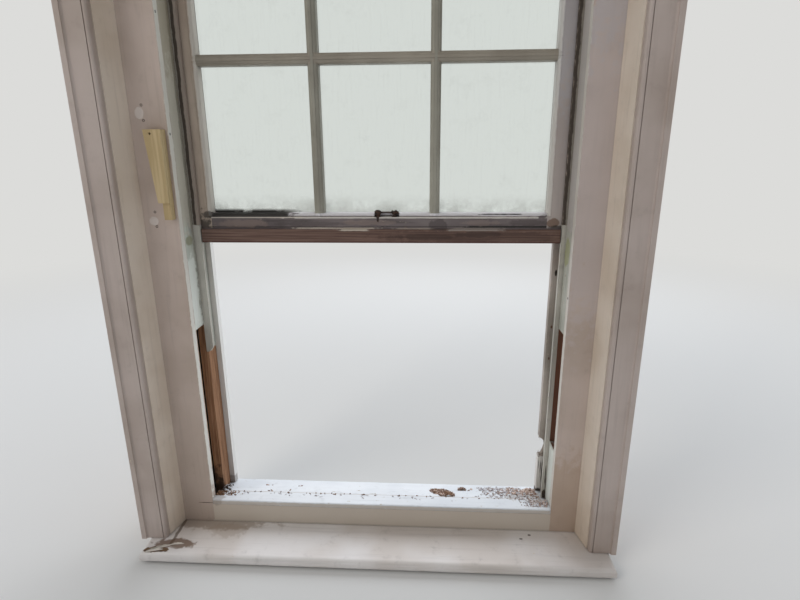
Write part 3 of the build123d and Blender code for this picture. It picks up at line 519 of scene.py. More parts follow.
# %% Bare softwood and new pine
def bare_wood(name, pale, dark, grain="z", ring_mm=3.0, dust=0.3, fuzz=0.10):
    """Unpainted softwood: year rings drawn out along the grain, pores, saw marks, dust, and darker corners of dust and
    painted shade.
    """
    material, tree, position = new_material(name)
    bend = add(tree, "TexNoise", {"Vector": position, "Scale": per(90), "Detail": 2.0}).outputs["Color"]
    pushed = add(tree, "VectorMath", {0: bend, 1: (0.006, 0.006, 0.006), 2: position}, operation="MULTIPLY_ADD")
    rings = stretched(pushed, ring_mm, 160, grain)
    pores = stretched(position, 0.6, 14, grain, 3.0, 0.7)
    broad = add(tree, "TexNoise", {"Vector": position, "Scale": per(60), "Detail": 4.0})
    nook = add(tree, "AmbientOcclusion", {"Distance": 0.012}, samples=4).outputs["AO"]
    face = coat(dark, pale, rings, 0.40, 0.60)
    face = coat(face, dark, pores, 0.52, 0.74, 0.35)
    face = coat(face, "#4b4037", broad, 0.48, 0.75, dust)
    # painted shade with dust: darker where other wood stands within 12 mm
    face = coat(face, "#2c231c", nook, 0.65, 0.2, dust)
    surface(tree, {"Base Color": face, "Roughness": 0.82, "IOR": 1.5}, added_up((rings, 0.3), (pores, fuzz)))
    print(name, len(tree.nodes), "nodes")
    return material


box_wood = bare_wood("rough_sawn_softwood_of_the_boxes", "#cb9a70", "#9a6f4c", dust=0.15, fuzz=0.25)
head_wood = bare_wood("rough_sawn_softwood_of_the_head", "#9a7550", "#6d4f35", grain="x", dust=0.5, fuzz=0.25)
pine = bare_wood("new_pine_of_the_packing_blocks", "#c4af87", "#b39d74", ring_mm=6.5, dust=0.10, fuzz=0.06)
# painted light: the slips stand in the dark of the boxes and are made far paler than the box wood, with no dust or
# corner shade
slip_wood = bare_wood("softwood_of_the_parting_slips_with_painted_light", "#f0d4b0", "#cfa67c", dust=0.0, fuzz=0.25)
paint_node(box_wood, "back_lining_left", "back_lining_right", "slip_pegs")
paint_node(slip_wood, "parting_slip_left", "parting_slip_right")
paint_node(head_wood, "head")
paint_node(pine, "packing_block_upper", "packing_block_lower")

# %% [markdown]
# ## Glass, putty and ironwork
# Old sheet glass is never quite flat, and here it is dirty along its lower edges. It is one glossy, see-through
# surface whose grime is a duller, browner layer. The weights are cast iron, the pulleys iron cases with brass wheels.

# %% Sheet glass
def sheet_glass():
    """Drawn sheet glass: waves of 60 mm, a film of dust, and grime creeping up from the rail."""
    material, tree, position = new_material("old_sheet_glass")
    axes = add(tree, "SeparateXYZ", {0: position}).outputs
    cloud = add(tree, "TexNoise", {"Vector": position, "Scale": per(45), "Detail": 5.0, "Roughness": 0.65})
    dusty = add(tree, "MapRange", {"Value": cloud, "From Min": 0.50, "From Max": 0.85}, **SOFTLY)
    smear = add(tree, "MapRange", {"Value": stretched(position, 6, 60, "z", 4.0, 0.6), "From Min": 0.5,
                                   "From Max": 0.8}, **SOFTLY)
    film = added_up((dusty, 0.05), (smear, 0.03))
    low = add(tree, "MapRange", {"Value": axes["Z"], "From Min": 0.905, "From Max": 0.856}, **SOFTLY)
    grime = add(tree, "MapRange", {"Value": cloud, "From Min": 0.25, "From Max": 0.7}, **SOFTLY)
    grime = add(tree, "Math", {0: grime, 1: 0.30}, **PRODUCT)
    film = add(tree, "Math", {0: film, 1: add(tree, "Math", {0: low, 1: grime}, **PRODUCT)}, **SUM)

    # black mould along the foot of the left panes, and no further right than 160 mm left of the middle
    foot = add(tree, "MapRange", {"Value": axes["Z"], "From Min": 0.868, "From Max": 0.858}, **SOFTLY)
    patchy = add(tree, "MapRange", {"Value": cloud, "From Min": 0.30, "From Max": 0.50}, **SOFTLY)
    left = add(tree, "MapRange", {"Value": axes["X"], "From Min": -0.16, "From Max": -0.24})
    mould = add(tree, "Math", {0: add(tree, "Math", {0: foot, 1: patchy}, **PRODUCT), 1: left}, **PRODUCT)
    film = add(tree, "Math", {0: film, 1: mould}, operation="MAXIMUM", use_clamp=True)
    dirt = add(tree, "Mix", {0: mould, 6: colour("#8e8778"), 7: colour("#1d1a17")}, **COLOURS)
    face = add(tree, "Mix", {0: film, 6: colour("#f4faf7"), 7: dirt}, **COLOURS)
    veiled = add(tree, "Math", {0: film, 1: 0.9}, **PRODUCT)
    clear = add(tree, "Math", {0: 1.0, 1: veiled}, operation="SUBTRACT", use_clamp=True)
    dull = add(tree, "MapRange", {"Value": film, "To Min": 0.01, "To Max": 0.6})
    wave = add(tree, "TexNoise", {"Vector": position, "Scale": per(60), "Detail": 1.0})
    surface(tree, {"Base Color": face, "Roughness": dull, "IOR": 1.5, "Transmission Weight": clear}, wave,
            strength=0.25)
    print("old_sheet_glass", len(tree.nodes), "nodes")
    return material


panes = [name for name in nodes if name.startswith("pane_")]
paint_node(sheet_glass(), *panes)
for pane in panes:
    nodes[pane].visible_shadow = False

# %% Putty, cast iron, rusted iron and brass
putty_paint = old_paint("painted_linseed_putty", "#bdb9ae", "#a39e92", grain="x", flaking=0.16, flake_mm=7,
                        streaks=0.2, dirt=0.8, gloss=0.5)
paint_node(putty_paint, "putty_beads")


def old_metal(name, metal, rust, shine, covered, pit_mm):
    """Metal under rust or tarnish: covered is the share that no longer shines, pit_mm the size of its pits."""
    material, tree, position = new_material(name)
    limit = 0.75 - 0.5 * covered
    crust = add(tree, "TexNoise", {"Vector": position, "Scale": per(pit_mm * 4), "Detail": 6.0, "Roughness": 0.7})
    skin = add(tree, "MapRange", {"Value": crust, "From Min": limit - 0.06, "From Max": limit + 0.06}, **SOFTLY)
    pits = add(tree, "TexNoise", {"Vector": position, "Scale": per(pit_mm), "Detail": 3.0})
    face = add(tree, "Mix", {0: skin, 6: colour(metal), 7: coat(rust, "#2a1d17", pits, 0.4, 0.7)}, **COLOURS)
    dull = add(tree, "MapRange", {"Value": skin, "To Min": shine, "To Max": 0.85})
    bright = add(tree, "MapRange", {"Value": skin, "To Min": 1.0, "To Max": 0.0})
    surface(tree, {"Base Color": face, "Roughness": dull, "Metallic": bright}, added_up((pits, 0.25), (skin, 0.15)))
    return material


cast_iron = old_metal("rusty_cast_iron_of_the_weights", "#5a5654", "#5d3a26", 0.5, 0.75, 2.6)
case_iron = old_metal("painted_over_iron_of_the_pulley_cases", "#6b6763", "#6e5a48", 0.45, 0.6, 1.4)
brass = old_metal("dull_brass_of_the_wheels", "#a98a4e", "#5c4a2c", 0.32, 0.45, 1.6)
keeper_iron = old_metal("black_iron_of_the_keeper", "#3a3836", "#4b3124", 0.42, 0.55, 1.2)
paint_node(cast_iron, "sash_weight_left", "sash_weight_right")
paint_node(case_iron, *[name for name in nodes if name.startswith("pulley_case")], "pulley_screws", "pulley_pins")
paint_node(brass, *[name for name in nodes if name.startswith("pulley_wheel")])
paint_node(keeper_iron, "fastener_keeper")
print("unpainted:", [name for name, item in nodes.items() if not item.data.materials])

# %% [markdown]
# ## Modelling by hand in code
# The small things on the window are modelled as one would with the mouse: a primitive goes to its place, edit mode
# shapes it, modifiers finish it. Three helpers stand in for the hand: one clears the selection, one picks faces,
# edges or vertices by where they are, and one closes a piece: its place goes into its mesh, and it rides on a body.

# %% Helpers for modelling
WHOLE = {"location": True, "rotation": True, "scale": True}


def only(piece):
    """Leaves edit mode and makes this the one selected and active object."""
    if bpy.context.object and bpy.context.object.mode != "OBJECT":
        bpy.ops.object.mode_set(mode="OBJECT")
    bpy.ops.object.select_all(action="DESELECT")
    piece.select_set(True)
    bpy.context.view_layer.objects.active = piece


def fresh(operator, scale=None, **settings):
    """Adds a primitive with nothing else selected, and puts its place, turn and scale into its mesh."""
    bpy.ops.object.select_all(action="DESELECT")
    operator(**settings)
    piece = bpy.context.object
    if scale:
        piece.scale = scale
    bpy.ops.object.transform_apply(**WHOLE)
    return piece


def all_in_edit_mode(piece):
    """Opens a piece in edit mode with all of it selected."""
    only(piece)
    bpy.ops.object.mode_set(mode="EDIT")
    bpy.ops.mesh.select_all(action="SELECT")


def pick(piece, wanted, kind="FACE"):
    """In edit mode, selects the faces or vertices where wanted, given the middle in metres and the normal, says so."""
    only(piece)
    bpy.ops.object.mode_set(mode="EDIT")
    bpy.ops.mesh.select_mode(type=kind)
    bpy.ops.mesh.select_all(action="DESELECT")
    shape = bmesh.from_edit_mesh(piece.data)
    for item in shape.faces if kind == "FACE" else shape.verts:
        middle = item.calc_center_median() if kind == "FACE" else item.co
        if wanted(piece.matrix_world @ middle, item.normal):
            item.select_set(True)
    bmesh.update_edit_mesh(piece.data)


def roughen(offset, seed):
    """Moves each selected vertex a little, by chance."""
    bpy.ops.transform.vertex_random(offset=offset, uniform=0.0, normal=0.0, seed=seed)


def apply_modifiers(piece):
    """Applies every modifier of a piece, in order."""
    only(piece)
    for modifier in list(piece.modifiers):
        bpy.ops.object.modifier_apply(modifier=modifier.name)


# %% Joining, copying and closing pieces
def close_piece(piece, name, material, body="frame", smooth=40):
    """Applies a finished piece's modifiers and its place, names it, paints it and lets it ride."""
    apply_modifiers(piece)
    bpy.ops.object.transform_apply(**WHOLE)
    bpy.ops.object.shade_smooth_by_angle(angle=math.radians(smooth))
    piece.name = piece.data.name = name
    piece.data.materials.clear()
    piece.data.materials.append(material)
    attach(piece, body)
    print(name, len(piece.data.polygons), "faces,", [round(side * 1000, 1) for side in piece.dimensions], "mm")


def joined(parts):
    """Joins copies into one mesh, as with Ctrl+J."""
    only(parts[0])
    for part in parts[1:]:
        part.select_set(True)
    bpy.ops.object.join()
    return bpy.context.object


def copy_of(template):
    """A copy with its own mesh."""
    twin = template.copy()
    twin.data = template.data.copy()
    bpy.context.collection.objects.link(twin)
    return twin


def merged_copy(name):
    """A closed copy of a CAD node's mesh, to be shaped further."""
    twin = copy_of(nodes[name])
    twin.parent = None
    twin.matrix_world = Matrix.Identity(4)
    all_in_edit_mode(twin)
    bpy.ops.mesh.remove_doubles(threshold=0.00002)
    bpy.ops.mesh.tris_convert_to_quads(face_threshold=0.01, shape_threshold=0.01)
    bpy.ops.object.mode_set(mode="OBJECT")
    return twin


print("solids that could be copied and cut:", len(nodes))

# %% [markdown]
# ## Filler and old screw holes
# Two dabs of white filler close the old screw holes of a fitting on the left lining, and beside each dab are two
# open holes. A dab is a disc pulled out of round, domed and feathered to its rim, so it catches light as a smear
# does. A hole can't be cut into the CAD board, so each is a small crater with a raised lip and a dark floor.

# %% Filler material and dabs
FACE_Y = -0.075
filler = old_paint("rubbed_down_white_filler", "#d4c9c1", "#cabdb3", flaking=0.0, streaks=0.05, dirt=0.25, gloss=0.8,
                   arris=0.0)


def filler_dab(name, x, z, wide, high, seed):
    """A thin domed smear of filler on the lining's face."""
    dab = fresh(bpy.ops.mesh.primitive_circle_add, (wide, high, 1), vertices=28, radius=0.5, fill_type="NGON",
                location=(x, FACE_Y, z), rotation=(math.pi / 2, 0, 0))
    bpy.ops.object.mode_set(mode="EDIT")
    bpy.ops.mesh.select_all(action="SELECT")
    for inset, rise in ((0.0022, 0.0005), (0.0030, 0.0004), (0.0025, 0.0001)):
        bpy.ops.mesh.inset(thickness=inset)
        bpy.ops.transform.translate(value=(0, -rise, 0))
    pick(dab, lambda place, normal: place.y > FACE_Y - 0.0001, "VERT")
    roughen(0.0016, seed)
    bpy.ops.transform.resize(value=(1, 0, 1), center_override=(x, FACE_Y + 0.0001, z))
    dab.modifiers.new("round", "SUBSURF").levels = 1
    close_piece(dab, name, filler, smooth=60)


filler_dab("filler_dab_upper", -0.5094, 1.0831, 0.022, 0.026, 3)
filler_dab("filler_dab_lower", -0.5084, 0.8476, 0.023, 0.021, 8)

# %% Screw and nail holes
hole_dark, tree, position = new_material("shadow_and_rust_in_a_screw_hole")
speck = add(tree, "TexNoise", {"Vector": position, "Scale": per(2), "Detail": 3.0})
surface(tree, {"Base Color": coat("#160f0b", "#3a2417", speck, 0.35, 0.7), "Roughness": 0.9})

# how a cylinder turns to open to the room, to the right and to the left, and the way it then faces; LIP is the
# rounding of its rim in metres
TO_ROOM = (math.pi / 2, 0, 0), Vector((0, -1, 0))
TO_RIGHT = (0, math.pi / 2, 0), Vector((1, 0, 0))
TO_LEFT = (0, -math.pi / 2, 0), Vector((-1, 0, 0))
LIP = 0.0002


def screw_hole(name, at, across, facing=TO_ROOM):
    """A crater: a short tube with a rounded lip, closed by a sunken floor."""
    turn, out = facing
    hole = fresh(bpy.ops.mesh.primitive_cylinder_add, vertices=20, radius=across / 2, depth=0.0010, location=at,
                 rotation=turn)
    pick(hole, lambda place, normal: normal.dot(out) > 0.9)
    bpy.ops.mesh.inset(thickness=across * 0.14)
    bpy.ops.mesh.extrude_region_move(TRANSFORM_OT_translate={"value": tuple(out * -0.0007)})
    bpy.ops.transform.resize(value=(0.8, 0.8, 0.8), center_override=tuple(Vector(at) - out * 0.0002))
    hole.modifiers.new("soften", "BEVEL").width = LIP
    close_piece(hole, name, hole_dark)


for number, (x, z) in enumerate(((-0.5025, 1.0995), (-0.5015, 1.0675), (-0.5032, 0.8682), (-0.5031, 0.8349)), 1):
    screw_hole(f"old_screw_hole_{number}", (x, FACE_Y, z), 0.0058)
screw_hole("nail_hole_left_1", (-0.45, -0.066, 1.039), 0.0052, TO_RIGHT)
screw_hole("nail_hole_left_2", (-0.45, -0.066, 1.284), 0.0052, TO_RIGHT)
screw_hole("nail_hole_right_1", (0.45, -0.066, 0.668), 0.0050, TO_LEFT)

# %% [markdown]
# ## Rusty nails
# Three nails stick in the face of the right outer lining, where a stop was torn off. A nail head is a disc with a
# rounded rim and a shallow dish, a little tilted, as a hammer leaves it.

# %% Nail heads in the right outer lining
LINING_Y = 0.0505
nail_rust = old_metal("rusted_wire_nail", "#5c3a26", "#6b3d22", 0.7, 0.95, 0.8)


def nail_head(name, x, z, across, lean):
    """A dished disc on a short shank, leaning by a few hundredths of a radian, flush with the lining's face."""
    nail = fresh(bpy.ops.mesh.primitive_cylinder_add, vertices=16, radius=across / 2, depth=0.0012,
                 location=(x, LINING_Y + 0.00055, z), rotation=(math.pi / 2 + lean, 0, lean))
    pick(nail, lambda place, normal: normal.y < -0.9)
    bpy.ops.mesh.inset(thickness=across * 0.18)
    bpy.ops.transform.translate(value=(0, 0.0003, 0))
    pick(nail, lambda place, normal: normal.y > 0.9)
    bpy.ops.mesh.inset(thickness=across * 0.27)
    bpy.ops.mesh.extrude_region_move(TRANSFORM_OT_translate={"value": (0, 0.004, 0)})
    nail.modifiers.new("soften", "BEVEL").width = LIP
    close_piece(nail, name, nail_rust)


nail_head("lining_nail_1", 0.4452, 0.7017, 0.0050, 0.03)
nail_head("lining_nail_2", 0.4446, 0.5581, 0.0042, -0.03)
nail_head("lining_nail_3", 0.4440, 0.4703, 0.0042, 0.02)

# %% [markdown]
# ## The split foot of the right outer lining
# Rot has eaten a notch into the edge of this board, and below it the grain has opened into splits and splinters. The
# splits are cut into a merged copy of the board with thin tapered wedges; the splinters are narrow cones, each pulled
# out of true, set in the broken ends of the grain. The copy then stands in for the CAD board.

# %% Splits cut by wedges
def wedge(x, low, high, wide, deep):
    """A thin cutter, pointed at both ends, that enters the board from its room side."""
    cutter = fresh(bpy.ops.mesh.primitive_cylinder_add, (wide, deep * 2, high - low), vertices=8, radius=0.5, depth=1,
                   location=(x, LINING_Y - 0.0005, (low + high) / 2))
    for end in (low, high):
        pick(cutter, lambda place, normal: abs(place.z - end) < 0.001)
        bpy.ops.transform.resize(value=(0.15, 0.3, 1))
    only(cutter)
    return cutter


board = merged_copy("outer_lining_right")
for x, low, high, wide, deep in ((0.4452, 0.106, 0.174, 0.0050, 0.012), (0.4395, 0.120, 0.160, 0.0020, 0.010),
                                 (0.4415, 0.066, 0.108, 0.0028, 0.010), (0.4436, 0.236, 0.300, 0.0016, 0.008),
                                 (0.4400, 0.156, 0.180, 0.0026, 0.012)):
    cutter = wedge(x, low, high, wide, deep)
    only(board)
    cut = board.modifiers.new("split", "BOOLEAN")
    cut.operation, cut.object, cut.solver = "DIFFERENCE", cutter, "EXACT"
    bpy.ops.object.modifier_apply(modifier="split")
    bpy.data.objects.remove(cutter)
close_piece(board, "split_outer_lining_right", outer_right, smooth=30)
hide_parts("outer_lining_right")

# %% Splinters in the broken ends
silvered = bare_wood("silvered_softwood_splinters", "#c3bab2", "#948a80", ring_mm=1.2, dust=0.1, fuzz=0.3)


def splinter(at, long, thick, lean, seed):
    """A narrow cone of five sides, drawn out of true, with its foot sunk in the board."""
    bpy.ops.object.select_all(action="DESELECT")
    bpy.ops.mesh.primitive_cone_add(vertices=5, radius1=0.5, radius2=0.08, depth=1, location=(0, 0, 0.42))
    sliver = bpy.context.object
    all_in_edit_mode(sliver)
    bpy.ops.mesh.subdivide(number_cuts=2)
    roughen(0.09, seed)
    only(sliver)
    bpy.ops.object.transform_apply(**WHOLE)
    sliver.matrix_world = (Matrix.Translation(at) @ Matrix.Rotation(lean[0], 4, "X") @ Matrix.Rotation(lean[1], 4, "Y")
                           @ Matrix.Diagonal((thick, thick * 1.5, long, 1)))
    bpy.ops.object.transform_apply(**WHOLE)
    return sliver


rng = random.Random(41)
slivers = [splinter((rng.uniform(0.4375, 0.4455), rng.uniform(0.053, 0.067), 0.1735), rng.uniform(0.007, 0.020),
                    rng.uniform(0.0016, 0.0034), (rng.gauss(0, 0.08), rng.gauss(0.05, 0.08)), step)
           for step in range(9)]
slivers += [splinter((rng.uniform(0.4385, 0.4460), rng.uniform(0.053, 0.067), 0.2380), -rng.uniform(0.006, 0.016),
                     rng.uniform(0.0012, 0.0026), (rng.gauss(0, 0.08), rng.gauss(0, 0.08)), 20 + step)
            for step in range(6)]
sheaf = joined(slivers)
all_in_edit_mode(sheaf)
bpy.ops.mesh.normals_make_consistent(inside=False)
close_piece(sheaf, "splinters_of_outer_lining", silvered, smooth=30)

# %% [markdown]
# ## The keeper of the sash fastener
# On the meeting rail sits the keeper that the fastener's arm hooked into: a small casting with two knobs and a bar
# between them, black with old paint and rust. Turned shapes are spun from a profile, then everything is joined and
# remeshed, which melts the parts together with the soft corners of a sand casting.

# %% A knob spun from its profile
def turned(profile, at):
    """Spins a profile of (radius, height) pairs round an upright axis."""
    knob = fresh(bpy.ops.mesh.primitive_plane_add, size=0.001, location=at)
    all_in_edit_mode(knob)
    bpy.ops.mesh.delete(type="VERT")
    shape = bmesh.from_edit_mesh(knob.data)
    points = [shape.verts.new((at[0] + radius, at[1], at[2] + height)) for radius, height in profile]
    for first, second in zip(points, points[1:]):
        shape.edges.new((first, second))
    bmesh.update_edit_mesh(knob.data)
    bpy.ops.mesh.select_all(action="SELECT")
    bpy.ops.mesh.spin(steps=28, angle=math.tau, center=at, axis=(0, 0, 1))
    bpy.ops.mesh.select_all(action="SELECT")
    bpy.ops.mesh.remove_doubles(threshold=0.00001)
    bpy.ops.mesh.normals_make_consistent(inside=False)
    bpy.ops.object.mode_set(mode="OBJECT")
    print("a knob of", len(knob.data.vertices), "vertices")
    return knob

# %% Two knobs, a bar and a plate, cast together
KEEPER_Y, KEEPER_Z = 0.0105, 0.8470
keeper_parts = [
    turned([(0, 0), (0.0068, 0), (0.0068, 0.0014), (0.0044, 0.0030), (0.0050, 0.0050), (0.0080, 0.0080),
            (0.0086, 0.0115), (0.0074, 0.0145), (0.0042, 0.0164), (0, 0.0167)], (0.0032, KEEPER_Y, KEEPER_Z)),
    turned([(0, 0), (0.0060, 0), (0.0060, 0.0014), (0.0036, 0.0030), (0.0040, 0.0055), (0.0064, 0.0080),
            (0.0068, 0.0110), (0.0050, 0.0135), (0, 0.0142)], (0.0430, KEEPER_Y, KEEPER_Z))]
for x, rise, lobe in ((0.0500, 0.0100, 0.0042), (0.0465, 0.0140, 0.0030), (0.0385, 0.0125, 0.0034)):
    bpy.ops.object.select_all(action="DESELECT")
    bpy.ops.mesh.primitive_ico_sphere_add(subdivisions=3, radius=lobe, location=(x, KEEPER_Y, KEEPER_Z + rise))
    keeper_parts.append(bpy.context.object)
bpy.ops.object.select_all(action="DESELECT")
bpy.ops.mesh.primitive_cylinder_add(vertices=20, radius=0.0019, depth=0.034, rotation=(0, math.pi / 2, 0),
                                    location=(0.0235, KEEPER_Y, KEEPER_Z + 0.0112))
keeper_parts.append(bpy.context.object)
tab = fresh(bpy.ops.mesh.primitive_cube_add, (0.0072, 0.0016, 0.0130), size=1,
            location=(0.0032, 0.0038, KEEPER_Z - 0.0045))
pick(tab, lambda place, normal: place.z < KEEPER_Z - 0.009)
bpy.ops.transform.resize(value=(0.55, 1, 1))
bpy.ops.mesh.bevel(offset=0.0012, segments=3)
only(tab)
strap = fresh(bpy.ops.mesh.primitive_cube_add, (0.0080, 0.0074, 0.0018), size=1,
              location=(0.0032, 0.0068, KEEPER_Z + 0.0010))
pick(strap, lambda place, normal: abs(normal.y) > 0.9)
bpy.ops.transform.resize(value=(0.9, 1, 0.8))
only(strap)

# %% Melting the keeper together
keeper = joined(keeper_parts + [tab, strap])
melt = keeper.modifiers.new("cast", "REMESH")
melt.mode, melt.voxel_size = "VOXEL", 0.0006
keeper.modifiers.new("soften", "SMOOTH").iterations = 2
pitted = bpy.data.textures.new("casting_grain", "CLOUDS")
pitted.noise_scale = 0.003
grain = keeper.modifiers.new("grain", "DISPLACE")
grain.texture, grain.strength, grain.texture_coords = pitted, 0.0007, "GLOBAL"
close_piece(keeper, "keeper_casting", keeper_iron, body="upper_sash", smooth=70)
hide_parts("fastener_keeper")

# %% [markdown]
# ## Litter on the sill
# Scraping and levering left chips of paint, slivers of wood and a heap of dusty crumbs on the sill. One chip is
# modelled as a broken, slightly bent scale; then copies, each with its own size, turn and mesh, are laid flat,
# thrown over the right third, and piled up where the heap lies.

# %% Chip materials
def chip_material(name, pale, dark):
    """Dry broken stuff: two tones in 5 mm patches, and a dusty surface."""
    material, tree, position = new_material(name)
    mix = add(tree, "TexNoise", {"Vector": position, "Scale": per(5), "Detail": 4.0, "Roughness": 0.7})
    face = coat(dark, pale, mix, 0.42, 0.62)
    surface(tree, {"Base Color": face, "Roughness": 0.8}, mix, strength=0.8, millimetres=0.6)
    return material


bark_brown = chip_material("dusty_wood_crumbs", "#a07c5e", "#5a4030")
paint_white = chip_material("broken_paint_scales", "#e2e1e3", "#8d8586")
pale_crumb = chip_material("pale_crumbs_of_rotten_wood", "#dac6b8", "#83695e")
dirt_dark = chip_material("damp_dirt_and_rotten_wood", "#4d3828", "#241912")

# %% One chip, many copies
def chip_shape(sides, seed):
    """A thin broken scale, 1 m across before it is scaled: uneven rim, bent middle, closed underside."""
    chip = fresh(bpy.ops.mesh.primitive_cylinder_add, vertices=sides, radius=0.5, depth=0.16)
    pick(chip, lambda place, normal: normal.z > 0.5)
    bpy.ops.mesh.inset(thickness=0.16)
    bpy.ops.transform.translate(value=(0, 0, 0.05))
    bpy.ops.mesh.select_all(action="SELECT")
    roughen(0.22, seed)
    only(chip)
    return chip


def scatter(name, material, count, seed, place_of, size, lean):
    """Lays copies of the chips where place_of says, in sizes between the given ends, and joins them to one piece."""
    rng = random.Random(seed)
    templates = [chip_shape(sides, seed + sides) for sides in (5, 6, 4)]
    laid = []
    for _ in range(count):
        chip = copy_of(rng.choice(templates))
        long, wide, thick = [rng.uniform(*ends) for ends in size]
        x, y, z = place_of(rng)
        chip.matrix_world = (Matrix.Translation((x, y, z + thick * 0.45))
                             @ Matrix.Rotation(rng.uniform(0, math.tau), 4, "Z")
                             @ Matrix.Rotation(rng.gauss(0, lean), 4, "X")
                             @ Matrix.Rotation(rng.gauss(0, lean), 4, "Y")
                             @ Matrix.Diagonal((long, wide, thick / 0.16, 1)))
        laid.append(chip)
    for template in templates:
        bpy.data.objects.remove(template)
    for chip in laid:
        only(chip)
        bpy.ops.object.transform_apply(**WHOLE)
    close_piece(joined(laid), name, material, smooth=20)


# sizes of a chip in metres: its length, width and thickness, each between two ends
CRUMB = (0.003, 0.008), (0.0012, 0.003), (0.0006, 0.0014)
FLAKE = (0.004, 0.009), (0.002, 0.0045), (0.0006, 0.0014)
SCALE = (0.004, 0.014), (0.002, 0.006), (0.0004, 0.0009)
BROAD = (0.008, 0.019), (0.004, 0.009), (0.0006, 0.0011)
SLIVER = (0.005, 0.011), (0.0018, 0.0030), (0.0008, 0.0014)
print("chips are from", CRUMB[0][0] * 1000, "to", BROAD[0][1] * 1000, "mm long")

# %% Places on the sill
def sill_height(y):
    """The sill's upper surface: nearly level inside, then two sinkings that slope outwards by 12 degrees."""
    if y < -0.031:
        return 0.0965 + (-0.031 - y) * 0.0035 / 0.044
    step = 0.0890 if y < 0.022 else 0.0825
    return step - (y + 0.031) * math.tan(math.radians(12))


def below_sash(y, z):
    """Keeps litter clear of the meeting rail and its lip when the sash is run down as far as it goes."""
    if y < -0.0095 or y > 0.0580:
        return z
    return min(z, 0.0820 if y < 0.0042 else 0.0812)


def spread(low, high, crowd=1.0):
    """Places between two corners, crowded towards the far end when crowd is above 1."""
    def place(rng):
        reach = 1 - rng.random() ** crowd
        x = low[0] + (high[0] - low[0]) * reach + rng.gauss(0, 0.010) * (1 - reach)
        y = rng.uniform(low[1], high[1])
        return x, y, sill_height(y)
    return place


def singly(*places):
    """Single places, one after the other."""
    queue = iter(places)

    def place(rng):
        x, y = next(queue)
        return x, y, sill_height(y)
    return place


def heap(rng):
    """A place in an oval mound 68 mm long and 50 mm wide that lies askew over the step of the sill."""
    reach, angle = math.sqrt(rng.random()), rng.uniform(0, math.tau)
    along, across = reach * math.cos(angle), reach * math.sin(angle)
    x, y = 0.1705 + 0.034 * along, 0.006 - 0.014 * along + 0.021 * across
    return x, y, below_sash(y, sill_height(y) + 0.018 * (1 - reach ** 2) * rng.uniform(0.2, 1))


def small_heap(rng):
    """A place in the small heap beside it."""
    reach, angle = math.sqrt(rng.random()), rng.uniform(0, math.tau)
    x, y = 0.226 + 0.013 * reach * math.cos(angle), 0.040 + 0.012 * reach * math.sin(angle)
    return x, y, sill_height(y) + 0.009 * (1 - reach ** 2) * rng.uniform(0.1, 1)


print("the sill lies", [round(sill_height(y) * 1000, 1) for y in (-0.075, -0.031, 0.022, 0.060)], "mm up")

# %% The litter
for facts in (
        ("heap_of_crumbs", bark_brown, 330, 5, heap, FLAKE, 0.18),
        ("pale_crumbs_in_heap", pale_crumb, 200, 6, heap, FLAKE, 0.18),
        ("paint_scales_in_heap", paint_white, 40, 8, heap, CRUMB, 0.18),
        ("small_heap_beside_it", pale_crumb, 60, 7, small_heap, CRUMB, 0.5),
        ("brown_crumbs_beside_it", bark_brown, 30, 9, small_heap, CRUMB, 0.5),
        ("crumbs_on_sill_right", bark_brown, 120, 11, spread((0.30, -0.029), (0.434, 0.058), 1.4), CRUMB, 0.10),
        ("pale_crumbs_on_sill_right", pale_crumb, 150, 13, spread((0.29, -0.029), (0.434, 0.060), 1.2), CRUMB, 0.10),
        ("paint_scales_on_sill_right", paint_white, 110, 17, spread((0.284, -0.028), (0.43, 0.062), 0.8), SCALE, 0.08),
        ("crumbs_in_right_corner", pale_crumb, 110, 19, spread((0.385, -0.066), (0.446, -0.034), 1.6), CRUMB, 0.15),
        ("scales_in_right_corner", paint_white, 50, 21, spread((0.39, -0.066), (0.446, -0.034), 1.2), SCALE, 0.15),
        ("crumbs_along_sill_groove", bark_brown, 45, 23, spread((-0.42, -0.036), (0.40, -0.0315)), CRUMB, 0.15),
        ("paint_scales_on_sill", paint_white, 30, 29, spread((-0.40, -0.05), (0.25, -0.034)), SCALE, 0.15),
        ("crumbs_on_sill_left", bark_brown, 130, 31, spread((-0.395, -0.055), (-0.447, -0.034), 1.6), CRUMB, 0.15),
        ("dirt_on_sill_left", dirt_dark, 60, 33, spread((-0.425, -0.028), (-0.447, 0.02), 1.5), CRUMB, 0.15),
        ("broad_scales_on_sill_right", paint_white, 60, 53, spread((0.286, 0.009), (0.39, 0.058), 0.9), BROAD, 0.16),
        ("broad_scales_near_the_room", paint_white, 16, 59, spread((0.30, -0.028), (0.40, -0.019), 0.9), BROAD, 0.10),
        ("rotten_slivers_on_sill_right", pale_crumb, 70, 61, spread((0.35, 0.009), (0.43, 0.058), 1.3), BROAD, 0.20),
        ("single_pale_chips_on_sill", pale_crumb, 4, 43,
         singly((-0.334, 0.0345), (-0.306, -0.0125), (-0.2365, 0.0355), (0.2540, 0.046)), BROAD, 0.05),
        ("single_dark_slivers_on_sill", bark_brown, 5, 47,
         singly((-0.320, 0.0345), (-0.3156, -0.012), (-0.2568, -0.0052), (-0.243, 0.0350), (0.246, 0.038)),
         SLIVER, 0.05)):
    scatter(*facts)

# %% [markdown]
# ## Dirt in the foot of the left pocket
# A century of dust, mortar crumbs and rotten wood lies in the foot of the weight box, heaped against its back. The
# mound starts as a grid whose middle is raised with a soft falloff, roughened by noise, with crumbs strewn over it.

